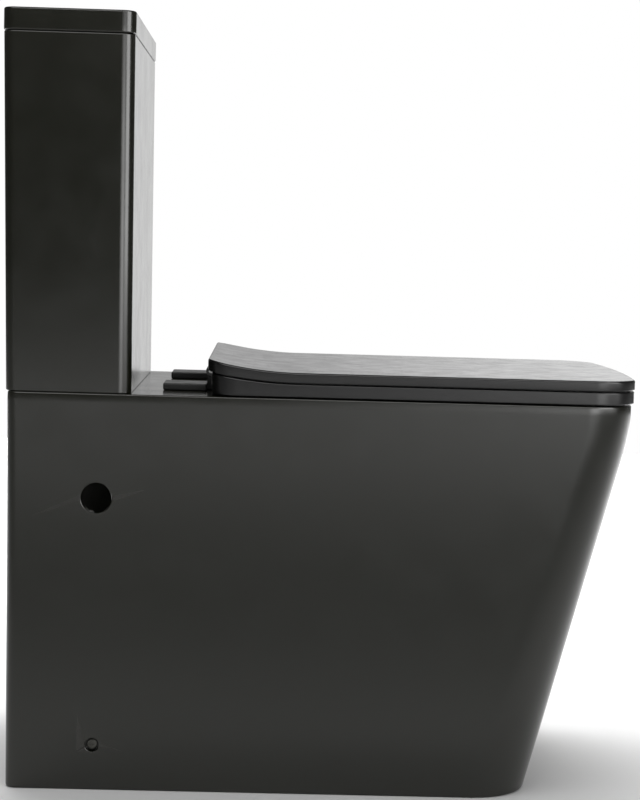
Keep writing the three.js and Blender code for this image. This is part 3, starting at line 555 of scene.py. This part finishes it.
def basin(name, wall, flare=0):
    """The basin's inside, or its outside with a wall. A flare rounds the edge where it meets the rim."""
    edge = RIM_HEIGHT - BASIN_EDGE
    levels = [82, 86, 92, *range(100, int(edge), 12), edge]
    rings = []
    for z in levels:
        half, front, back = basin_at(z)
        ring = outline(half, front, back, 0.62 * half, 0.5 * half, inset=-wall)
        rings.append(flat(ring, z - (wall if z == levels[0] else 0)))
    half, front, back = basin_at(edge)
    for c, s in quarter(6) if flare else [(0, 1)]:
        grow = wall + flare * (1 - c)
        ring = outline(half, front, back, 0.62 * half, 0.5 * half, inset=-grow)
        rings.append(flat(ring, edge + BASIN_EDGE * s))
    rings.append([(x, y, RIM_HEIGHT + BEYOND) for x, y, _ in rings[-1]])
    return loft(name, rings)


# the trapway's centre line, as (y, z) pairs
TRAP = [
    (-40, 118), (-5, 104), (38, 102), (76, 118), (108, 158), (138, 196), (176, 212), (216, 200), (250, 187),
    (282, OUTLET_Z),
]


def trapway(name, radius, steps=8, sides=40):
    """A round pipe along the trapway."""
    points = [Vector((0, y, z)) for y, z in TRAP]
    path = [along_curve(points, i, j / steps) for i in range(len(points) - 1) for j in range(steps)]
    path.append(points[-1])
    rings = []
    for i, p in enumerate(path):
        forward = (path[min(i + 1, len(path) - 1)] - path[max(i - 1, 0)]).normalized()
        up = Vector((1, 0, 0)).cross(forward)
        angles = [2 * math.pi * k / sides for k in range(sides)]
        rings.append([p + radius * (math.cos(a) * Vector((1, 0, 0)) + math.sin(a) * up) for a in angles])
    return loft(name, rings)


def rounded_drill(name, radius, near, far, mouth, sides=64):
    """An upright drill at the origin, for a hole whose mouth at the far end is rounded over."""
    profile = [(0, near), (radius, near), (radius, far - mouth)]
    profile += [(radius + mouth * (1 - c), far - mouth + mouth * s) for c, s in quarter(5)]
    profile += [(radius + mouth, far + BEYOND), (0, far + BEYOND)]
    return turned(name, profile, sides=sides)


def outlet_bar(name, radius, near, far, sides=96):
    """A cylinder along the outlet's axis."""
    return backwards(cylinder(name, radius, near, far, sides=sides), OUTLET_Z)


def pan_inside():
    """The pan's hollow, less the bowl, the trap, the inlet, the duct and the spigot that stand in it."""
    low = DUCT["bottom"] - CERAMIC
    inlet = cylinder("inlet", INLET_RADIUS + CERAMIC, low, RIM_HEIGHT - 5, (0, VALVE_Y))
    duct = box(
        "duct",
        (-DUCT["half"] - CERAMIC, 40, low),
        (DUCT["half"] + CERAMIC, VALVE_Y, DUCT["top"] + CERAMIC),
        bevel=6,
    )
    profile = [(0, SPIGOT_START), (SPIGOT, SPIGOT_START), (SPIGOT, OUTLET_END - 2)]
    profile += [(SPIGOT - 2, OUTLET_END), (0, OUTLET_END)]
    spigot = backwards(turned("spigot", profile), OUTLET_Z)
    trap = trapway("trap", TRAP_BORE + TRAP_WALL)
    return combine(pan_hollow(), basin("bowl", CERAMIC), trap, inlet, duct, spigot)


def back_opening():
    """The opening in the pan's back, with the spigot left standing."""
    half, top = BACK_OPENING["half"], BACK_OPENING["top"]
    opening = box("opening", (-half, OUTLET_END - 20, -20), (half, BACK + 20, top), bevel=7, segments=5)
    return combine(opening, outlet_bar("collar", SPIGOT, SPIGOT_START, OUTLET_END))


def waterways():
    """From the cistern to the bowl, and from the bowl to the outlet."""
    neck = outlet_bar("neck", TRAP_BORE, SPIGOT_START, 300, 40)
    profile = [(0, 281), (SPIGOT_BORE, 281), (SPIGOT_BORE, OUTLET_END - 2)]
    profile += [(SPIGOT_BORE + 2, OUTLET_END + 1), (SPIGOT_BORE + 2, 340), (0, 340)]
    bore = backwards(turned("bore", profile), OUTLET_Z)
    recess = upright(rounded_drill("recess", INLET_RADIUS, INLET_FLOOR, RIM_HEIGHT, 1.5), 0, VALVE_Y)
    half, bottom, top = DUCT["half"], DUCT["bottom"], DUCT["top"]
    throat = cylinder("throat", half, bottom, INLET_FLOOR + 1, (0, VALVE_Y))
    way = box("way", (-half, 20, bottom), (half, VALVE_Y, top), bevel=4)
    return [trapway("trap", TRAP_BORE), neck, bore, recess, throat, way]


def deck_hole(name, radius, mouth, x, y, sides=64):
    return upright(rounded_drill(name, radius, RIM_HEIGHT - DRILLED, RIM_HEIGHT, mouth, sides), x, y)


def side_hole(name, side, radius, near, z, mouth, sides=64):
    return sideways(rounded_drill(name, radius, near, wall_x(z), mouth, sides), side, ACCESS_Y, z)


def fixing_holes():
    """The fill valve's hole, and on each side those for bolts, for a screw and for reaching in."""
    holes = [deck_hole("fill", 18, 1.5, FILL_X, VALVE_Y)]
    for side in (-1, 1):
        holes.append(deck_hole("bolt", 8, 1.2, side * COUPLING_X, VALVE_Y, 40))
        holes.append(deck_hole("seat", 6, 1.2, side * HINGE.x, HINGE_BOLT_Y, 40))
        holes.append(side_hole("access", side, 16.2, 150, ACCESS_Z, 1.6))
        holes.append(side_hole("fixing", side, 7.2, SCREW_SEAT_X, FIXING_Z, 1.2, 48))
        holes.append(sideways(cylinder("screw", 3.6, 150, 175, sides=32), side, ACCESS_Y, FIXING_Z))
    return holes


def make_pan():
    pan = combine(pan_outside(), pan_inside(), back_opening(), basin("bowl", 0, flare=BASIN_EDGE))
    return smooth(combine(pan, *waterways(), *fixing_holes()))


piece(make_pan(), "base", GLAZE, "ceramic", "pan")


# ---------------------------------------------------------------- cistern
def tank_plan(z, inset=0):
    """The cistern's outline, which widens a little towards its top."""
    up = (z - TANK_BOTTOM) / (TANK_TOP - TANK_BOTTOM)
    return flat(outline(179 + 3 * up, 204 + 3.3 * up, 337 + 7.5 * up, 14, 12, inset=inset), z)


TANK_FOOT = 1  # radii of its edges, at the bottom and at the top
TANK_LIP = 1.5
TANK_RIDGE = RIM_HEIGHT + 0.2
RIDGE_WIDTH = 12


def make_tank():
    rings = []
    for c, s in [(1, 0)] + quarter(5):
        rings.append(tank_plan(TANK_RIDGE + TANK_FOOT * (1 - c), TANK_FOOT * (1 - s)))
    rings += [tank_plan(z) for z in (500, 600, 700, TANK_TOP - TANK_LIP)]
    rings += [tank_plan(TANK_TOP - TANK_LIP * (1 - s), TANK_LIP * (1 - c)) for c, s in quarter(3)]
    levels = [(TANK_INSIDE, TANK_WALL + 5), (TANK_INSIDE + 5, TANK_WALL), (TANK_TOP + BEYOND, TANK_WALL)]
    inside = loft("inside", [tank_plan(z, inset) for z, inset in levels])
    # the cistern stands on a low ridge round its underside
    underside = loft("underside", [tank_plan(z, RIDGE_WIDTH) for z in (TANK_RIDGE - BEYOND, TANK_BOTTOM)])
    low, high = TANK_BOTTOM - BEYOND, TANK_INSIDE + BEYOND
    holes = [(0, 32.5), (FILL_X, 14), (-COUPLING_X, 6), (COUPLING_X, 6)]
    drills = [cylinder("hole", radius, low, high, (x, VALVE_Y)) for x, radius in holes]
    return smooth(combine(loft("cistern_body", rings), inside, underside, *drills))


def lid_plan(z, inset=0):
    return flat(outline(HALF, 206.5, BACK, 15, 13, inset=inset), z)


LID_BASE = TANK_TOP + 0.5
LID_EDGE = 2
LID_FOOT = 1.5
LID_WALL = 22
LID_CEILING = TOTAL_HEIGHT - 11
BUTTON_HOLE = 30


def make_cistern_lid():
    rings = [lid_plan(LID_BASE + LID_FOOT * (1 - c), LID_FOOT * (1 - s)) for c, s in [(1, 0)] + quarter(3)]
    rings += [lid_plan(z) for z in (LID_BASE + 8, TOTAL_HEIGHT - LID_EDGE)]
    for c, s in quarter(8):
        rings.append(lid_plan(TOTAL_HEIGHT - LID_EDGE * (1 - s), LID_EDGE * (1 - c)))
    tongue = loft("tongue", [lid_plan(LID_BASE - 9, 14), lid_plan(LID_BASE + 2, 14)])
    levels = [(LID_BASE - 15, LID_WALL), (LID_CEILING - 2, LID_WALL), (LID_CEILING, LID_WALL + 2)]
    hollow = loft("hollow", [lid_plan(z, inset) for z, inset in levels])
    drill = cylinder("hole", BUTTON_HOLE, LID_BASE, TOTAL_HEIGHT + 20, (0, VALVE_Y))
    return smooth(combine(join(loft("cistern_cover", rings), tongue), hollow, drill))


piece(make_tank(), "base", GLAZE, "ceramic", "cistern_tank")
piece(make_cistern_lid(), "cistern_lid", GLAZE, "ceramic", "cistern_lid")


# ---------------------------------------------------------------- seat
SEAT = {"half": HALF, "front": FRONT, "back": 123.5, "front_radius": 48, "back_radius": 26, "bulge": 6}
RING = {**SEAT, "half": HALF - 0.5, "front": FRONT + 0.5, "back": 119.5}
RING_HOLE = {"half": 112, "front": -282, "back": 6, "front_radius": 88, "back_radius": 60, "bulge": 4}
RING_BOTTOM = 430
RING_TOP = 443.5
LID_BOTTOM = 444.8
LID_TOP = 456
SHELL = 5  # the lid's thickness in the middle
LID_ROUND = 2.2
RING_ROUND = 1.2
RISE_START = 22.5  # behind this the seat sweeps up to its hinges
RISE = 0.00116
RING_SLACK = 0.15  # share of the lid's rise that the ring's upper side lacks
EAR_RADIUS = 5.5
PIN_BORE = 2.75  # radius
# what each part takes up along the hinge, outwards from the middle of the seat
BLOCK_SPAN = (62, 95)
RING_EAR = (98, 112)
LID_EAR = (113, 127)
BORE_SPAN = (90, 130)


def sweep_up(bm, bottom, top, share):
    """Bends a level slab up towards the hinges, its lower side by a share of what its upper side rises."""
    for y in [RISE_START + 4 * i for i in range(26)]:
        geometry = bm.verts[:] + bm.edges[:] + bm.faces[:]
        bmesh.ops.bisect_plane(bm, geom=geometry, plane_co=(0, y, 0), plane_no=(0, 1, 0))
    for v in bm.verts:
        if v.co.y > RISE_START:
            t = min(max((v.co.z - bottom) / (top - bottom), 0), 1)
            v.co.z += RISE * (v.co.y - RISE_START) ** 2 * (share + (1 - share) * t)


def side_bar(name, side, radius, span):
    """A cylinder along the hinge."""
    return sideways(cylinder(name, radius, *span, sides=48), side, HINGE.y, HINGE.z)


def side_box(name, side, low, high, bevel=0):
    """A box on one side, whose corners are given for the right-hand one."""
    if side > 0:
        return box(name, low, high, bevel)
    return box(name, (-high[0], low[1], low[2]), (-low[0], high[1], high[2]), bevel)


def make_seat_lid():
    # (inset, height) pairs, out along the underside and up the edge
    section = [(7, LID_TOP - SHELL), (6.2, LID_BOTTOM + 0.3), (5.5, LID_BOTTOM), (1.2, LID_BOTTOM)]
    section += [(0.35, LID_BOTTOM + 0.35), (0, LID_BOTTOM + 1.2), (0, LID_TOP - LID_ROUND)]
    section += [(LID_ROUND * (1 - c), LID_TOP - LID_ROUND * (1 - s)) for c, s in quarter(6)]
    bm = loft_bmesh([flat(outline(**SEAT, inset=inset), z) for inset, z in section])
    sweep_up(bm, LID_BOTTOM, LID_TOP, 0.85)
    lid = mesh_object("seat_cover", bm)
    clear, ears, bores = [], [], []
    for side in (-1, 1):
        inner, outer = BLOCK_SPAN[0] - 2, RING_EAR[1] + 0.5
        clear.append(side_box("clear", side, (inner, 112, 440), (outer, 130, 460.5), 1.5))
        ears.append(side_bar("ear", side, EAR_RADIUS, LID_EAR))
        inner, outer = LID_EAR
        ears.append(side_box("ear", side, (inner, HINGE.y - 5.4, HINGE.z), (outer, HINGE.y + 2, 463)))
        bores.append(side_bar("bore", side, PIN_BORE, BORE_SPAN))
    return smooth(combine(join(combine(lid, *clear), *ears), *bores), 30)


# centres of the ring's bumpers, in whose pockets they sit
RING_BUMPERS = [(-148, -240), (148, -240), (-140, 60), (140, 60)]
POCKET = {"radius": 8.3, "depth": 4.5}


def make_seat_ring():
    # (inset, height) pairs up the outer edge
    outer = [(RING_ROUND * (1 - s), RING_BOTTOM + RING_ROUND * (1 - c)) for c, s in [(1, 0)] + quarter(4)]
    outer += [(RING_ROUND * (1 - c), RING_TOP - RING_ROUND * (1 - s)) for c, s in [(1, 0)] + quarter(4)]
    # and down the inner one, where the sitting surface falls away to the hole in a long curve
    inner = [(22 * (1 - i / 8) ** 2, RING_TOP - 7 * (i / 8) ** 2) for i in range(9)]
    inner += [(2 * (1 - c), RING_BOTTOM + 2 * (1 - s)) for c, s in [(1, 0)] + quarter(4)]
    rings = [flat(outline(**RING, inset=inset), z) for inset, z in outer]
    rings += [flat(outline(**RING_HOLE, inset=-inset), z) for inset, z in inner]
    bm = loft_bmesh(rings, closed=True)
    sweep_up(bm, RING_BOTTOM, RING_TOP, 0)
    for v in bm.verts:
        # the ring's upper side rises a little less than the lid above it
        if v.co.y > RISE_START and v.co.z > RING_TOP - 2:
            v.co.z -= RING_SLACK * RISE * (v.co.y - RISE_START) ** 2
    ring = mesh_object("seat_ring_moulding", bm)
    cuts, ears, bores = [], [], []
    for centre in RING_BUMPERS:
        low, high = RING_BOTTOM - 10, RING_BOTTOM + POCKET["depth"]
        cuts.append(cylinder("pocket", POCKET["radius"], low, high, centre, 40))
    for side in (-1, 1):
        inner, outer = BLOCK_SPAN[0] - 4, RING_EAR[0] - 0.5
        cuts.append(side_box("clear", side, (inner, 109, 420), (outer, 130, 480), 2))
        cuts.append(side_bar("clear", side, EAR_RADIUS + 0.4, (RING_EAR[1] + 0.5, LID_EAR[1] + 0.5)))
        ears.append(side_bar("ear", side, EAR_RADIUS, RING_EAR))
        bores.append(side_bar("bore", side, PIN_BORE, BORE_SPAN))
    return smooth(combine(join(combine(ring, *cuts), *ears), *bores), 30)


# the hinge block's foot: its span along Y, then along X, then its height
FOOT = {"near": 126, "far": 173.5, "inner": 62, "outer": 113, "bottom": 428.8, "top": 436.3}


def make_hinge_block(side):
    """A low foot bolted to the deck, with an upright in front that carries the pin."""
    inner, outer = BLOCK_SPAN
    near, far, bottom, top = (FOOT[key] for key in ("near", "far", "bottom", "top"))
    front = HINGE.y - 5
    foot = side_box("foot", side, (FOOT["inner"], near, bottom), (FOOT["outer"], far, top), 1.4)
    neck = side_box("neck", side, (inner, front, bottom), (outer, near + 4, top), 1)
    post = side_box("post", side, (inner, front, bottom + 1), (outer, HINGE.y + 5, HINGE.z), 0.6)
    barrel = side_bar("barrel", side, 5, BLOCK_SPAN)
    bore = side_bar("bore", side, PIN_BORE, (inner - BEYOND, outer + BEYOND))
    bolt_head = cylinder("pocket", 8.2, bottom - BEYOND, bottom + 5.2, (side * HINGE.x, HINGE_BOLT_Y), 48)
    return smooth(combine(join(foot, neck, post, barrel), bore, bolt_head))


piece(make_seat_lid(), "seat_lid", THERMOSET, "seat_plastic", "seat_lid")
piece(make_seat_ring(), "seat_ring", THERMOSET, "seat_plastic", "seat_ring")
for side, name in ((-1, "left"), (1, "right")):
    piece(make_hinge_block(side), "base", BLACK_PLASTIC, "black_plastic", f"hinge_block_{name}")


# ---------------------------------------------------------------- side screws
SCREW_RADIUS = 3
SCREW_TIP = 142
SCREW_HEAD = 6
SCREW_HEAD_SEAT = SCREW_SEAT_X + 0.3
SCREW_HEAD_HEIGHT = 2.4


def make_side_screw(side):
    """A pan-head screw with a cross recess, lying along X."""
    seat, height = SCREW_HEAD_SEAT, SCREW_HEAD_HEIGHT
    profile = [(0, SCREW_TIP), (SCREW_RADIUS, SCREW_TIP), (SCREW_RADIUS, seat)]
    profile += [(SCREW_HEAD, seat), (SCREW_HEAD, seat + 0.6 * height)]
    profile += [(SCREW_HEAD - 1.6 * (1 - c), seat + height * (0.6 + 0.4 * s)) for c, s in quarter(5)]
    profile.append((0, seat + height + 0.3))
    screw = turned("screw", profile, sides=64)
    slots = [box("slot", (-a, -b, seat + 0.9), (a, b, seat + 9)) for a, b in ((3, 0.55), (0.55, 3))]
    return smooth(sideways(combine(screw, *slots), side, ACCESS_Y, FIXING_Z))


for side, name in ((-1, "left"), (1, "right")):
    piece(make_side_screw(side), "base", SHADE_DARK_STEEL, "steel", f"side_screw_{name}")


# ---------------------------------------------------------------- flush buttons
BARREL_RADIUS = 28.6
BARREL_BORE = 26.2
BARREL_END = TOTAL_HEIGHT - 32
BEZEL_RADIUS = 33.5
BUTTON_RADIUS = 25.8
SKIRT = {"inner": 23.8, "outer": 25.2, "height": 8}
ROD_X = 19
SPLIT_X = 5  # the line between the buttons, off centre so that one is larger
BUTTON_GAP = 0.4  # either side of that line


def make_bezel():
    """The buttons' round frame and its barrel, with a hole for each rod in the barrel's floor."""
    top = TOTAL_HEIGHT
    floor = BARREL_END + 4
    profile = [(0, BARREL_END), (BARREL_RADIUS - 0.5, BARREL_END), (BARREL_RADIUS, BARREL_END + 0.5)]
    profile += [(BARREL_RADIUS, top + 0.3), (BEZEL_RADIUS, top + 0.3), (BEZEL_RADIUS, top + 1.4)]
    profile += [(BEZEL_RADIUS - 5.8 * (1 - c), top + 1.4 + 2.6 * s) for c, s in quarter(10)]
    profile += [(BARREL_BORE + 0.5, top + 3.8), (BARREL_BORE, top + 3), (BARREL_BORE, floor), (0, floor)]
    bezel = turned("bezel", profile, (0, VALVE_Y), 128)
    rod_holes = []
    for side in (-1, 1):
        rod_holes.append(cylinder("rod_hole", 3.6, BARREL_END - BEYOND, top, (side * ROD_X, VALVE_Y), 32))
    return smooth(combine(bezel, *rod_holes))


def make_button(side):
    """Part of a shallow dished disc with a skirt, and a boss under it for its rod."""
    top = TOTAL_HEIGHT
    inner, outer, height = SKIRT["inner"], SKIRT["outer"], SKIRT["height"]
    profile = [(0, top + 0.5), (inner, top + 0.5), (inner, top - height), (outer, top - height)]
    profile += [(outer, top + 0.5), (BUTTON_RADIUS, top + 1.2), (BUTTON_RADIUS, top + 3.6)]
    profile += [(BUTTON_RADIUS - 1.6 * (1 - c), top + 3.6 + 1.6 * s) for c, s in quarter(5)]
    profile += [(r, top + 4.5 + 0.7 * (r / (BUTTON_RADIUS - 1.6)) ** 2) for r in (20, 15, 10, 5)]
    profile.append((0, top + 4.5))
    disc = turned("button", profile, (0, VALVE_Y), 128)
    edge = SPLIT_X + side * BUTTON_GAP
    span = (edge, 60) if side < 0 else (-60, edge)
    beyond = box("beyond", (span[0], VALVE_Y - 60, top - 40), (span[1], VALVE_Y + 60, top + 40))
    button = soften(combine(disc, beyond), 0.5)
    centre = (side * ROD_X, VALVE_Y)
    boss = cylinder("boss", 4.2, top - 6, top + 1, centre, 32)
    socket = cylinder("socket", 2.8, top - 10, top - 1.5, centre, 32)
    return smooth(combine(join(button, boss), socket))


piece(make_bezel(), "cistern_lid", BLACK_PLASTIC, "black_plastic", "button_bezel")
for side, name in ((-1, "full_flush"), (1, "half_flush")):
    piece(make_button(side), name, BLACK_PLASTIC, "black_plastic", f"{name}_button")


# ---------------------------------------------------------------- studio
FLOOR_HALVES = (4400, 6000)  # half its length and half its width
FLOOR_CENTRE = -1000  # along X, so that it reaches behind the camera


def make_floor():
    bm = bmesh.new()
    bmesh.ops.create_grid(bm, x_segments=8, y_segments=8, size=1)
    bmesh.ops.scale(bm, vec=(*FLOOR_HALVES, 1), verts=bm.verts)
    bmesh.ops.translate(bm, vec=(FLOOR_CENTRE, 0, 0), verts=bm.verts)
    floor = mesh_object("studio_floor", bm)
    m = Material("pale_studio_paper", specular=0.1)
    m.colour(m.blend(m.noise(3, 4), (0.84, 0.84, 0.84), (0.88, 0.88, 0.88)))
    m.roughness(m.remap(m.noise(40, 4), 0.3, 0.7, 0.75, 0.9))
    m.bump((m.noise(500, 3), 0.1, 0.0002))
    floor.data.materials.append(m.material)


def add_light(data, location, towards):
    light = bpy.data.objects.new(data.name, data)
    light.location = location
    light.rotation_euler = Vector(towards).to_track_quat("-Z", "Y").to_euler()
    bpy.context.scene.collection.objects.link(light)
    return light


def panel(name, location, target, size, power):
    """A rectangular light."""
    data = bpy.data.lights.new(name, "AREA")
    data.shape = "RECTANGLE"
    data.size, data.size_y = size
    data.energy = power
    return add_light(data, location, Vector(target) - Vector(location))


def make_lights():
    """Two softboxes that only show in the glaze, and fills for the floor that don't."""
    softbox = panel("softbox", (-1.35, -1.9, 1.3), (0, 0, 0.75), (1.4, 1.7), 38)
    overhead = panel("overhead", (-1.5, 0, 1.9), (-0.18, 0, 0.45), (3.4, 1.3), 40)
    for light in (softbox, overhead):
        light.visible_diffuse = False
    beyond = panel("floor_beyond", (2.3, 0, 2.2), (2.3, 0, 0), (3.8, 5), 150)
    beyond.data.spread = math.radians(70)
    behind = panel("floor_behind_camera", (-4.1, 0, 2.2), (-4.1, 0, 0), (2, 6), 60)
    behind.data.spread = math.radians(90)
    near = panel("floor_near", (-0.5, -0.1, 1.8), (-0.5, -0.1, 0), (0.4, 2.6), 1.6)
    near.data.spread = math.radians(50)
    data = bpy.data.lights.new("ceiling", "SUN")
    data.energy = 0.9
    data.angle = math.radians(120)
    ceiling = add_light(data, (0, 0, 3), (0, 0, -1))
    for light in (beyond, behind, near, ceiling):
        light.visible_glossy = False


class Sky(NodeTree):
    """The room: plain white to the eye, and to the glaze a bright backdrop in a dim studio."""

    def __init__(self):
        world = bpy.data.worlds.new("studio")
        bpy.context.scene.world = world
        world.use_nodes = True
        self.nodes, self.links = world.node_tree.nodes, world.node_tree.links
        self.nodes.clear()
        split = self.nodes.new("ShaderNodeSeparateXYZ")
        self.links.new(self.nodes.new("ShaderNodeTexCoord").outputs["Generated"], split.inputs[0])
        self.x, self.y, self.z = split.outputs

    def ramp(self, value, start, end, low=0.0, high=1.0):
        return self.remap(value, start, end, low, high, "SMOOTHSTEP")

    def product(self, *factors):
        result = factors[0]
        for factor in factors[1:]:
            result = self.math("MULTIPLY", result, factor)
        return result

    def background(self, strength):
        node = self.nodes.new("ShaderNodeBackground")
        node.inputs["Color"].default_value = (1, 1, 1, 1)
        if isinstance(strength, float):
            node.inputs["Strength"].default_value = strength
        else:
            self.links.new(strength, node.inputs["Strength"])
        return node.outputs[0]

    def finish(self, strength):
        mix = self.nodes.new("ShaderNodeMixShader")
        path = self.nodes.new("ShaderNodeLightPath")
        self.links.new(path.outputs["Is Camera Ray"], mix.inputs["Fac"])
        self.links.new(self.background(strength), mix.inputs[1])
        self.links.new(self.background(1.0), mix.inputs[2])
        self.links.new(mix.outputs[0], self.nodes.new("ShaderNodeOutputWorld").inputs["Surface"])


DIMMEST = 0.08  # how bright the studio is where nothing lights it


def make_world():
    sky = Sky()
    # the lit backdrop beyond the toilet, brighter towards its front
    x, y, z = sky.x, sky.y, sky.z
    behind_camera = sky.ramp(x, 0.0, -0.4)
    # the lit backdrop beyond the toilet, brighter towards its front
    backdrop = sky.product(sky.ramp(x, 0.88, 0.97), sky.remap(y, 0.03, -0.2, 0.5, 1.37))
    # low light from the room's far side, behind the camera and towards the front of the toilet
    glow = sky.math("ADD", sky.ramp(y, 0.02, -0.08, 0.0, 0.6), sky.ramp(y, -0.2, -0.6, 0.0, 1.6))
    glow = sky.product(glow, behind_camera, sky.ramp(z, 0.08, -0.04, 0.25, 1.0), sky.ramp(z, 0.5, 0.1))
    # a band at the horizon, which lights the edges of the seat and of the rim near the front
    band = sky.math("ADD", sky.ramp(y, 0.02, -0.2, 0.0, 1.6), sky.ramp(y, -0.12, -0.32, 0.0, 3.0))
    band = sky.product(band, sky.ramp(y, -0.7, -0.45), sky.ramp(z, 0.12, 0.02), sky.ramp(z, -0.12, -0.04))
    room = sky.math("ADD", glow, sky.product(band, behind_camera))
    sky.finish(sky.math("ADD", sky.math("ADD", backdrop, room), DIMMEST))


# the photograph's camera, fitted to the object's outline
LENS = 89.98
SENSOR = 36
CAMERA_PLACE = (-2.2937, 0.0553, 0.6019)
CAMERA_RIGHT = Vector((-0.0222, -0.9993, 0.0290))
CAMERA_UP = Vector((0.0827, 0.0271, 0.9962))


def make_camera():
    data = bpy.data.cameras.new("camera")
    data.sensor_width = SENSOR
    data.lens = LENS
    camera = bpy.data.objects.new("camera", data)
    back = CAMERA_RIGHT.cross(CAMERA_UP).normalized()
    up = back.cross(CAMERA_RIGHT).normalized()
    axes = Matrix((CAMERA_RIGHT.normalized(), up, back)).transposed()
    camera.matrix_world = Matrix.Translation(CAMERA_PLACE) @ axes.to_4x4()
    bpy.context.scene.collection.objects.link(camera)
    bpy.context.scene.camera = camera


make_floor()
make_world()
make_lights()
make_camera()
bpy.context.scene.view_settings.view_transform = "Standard"
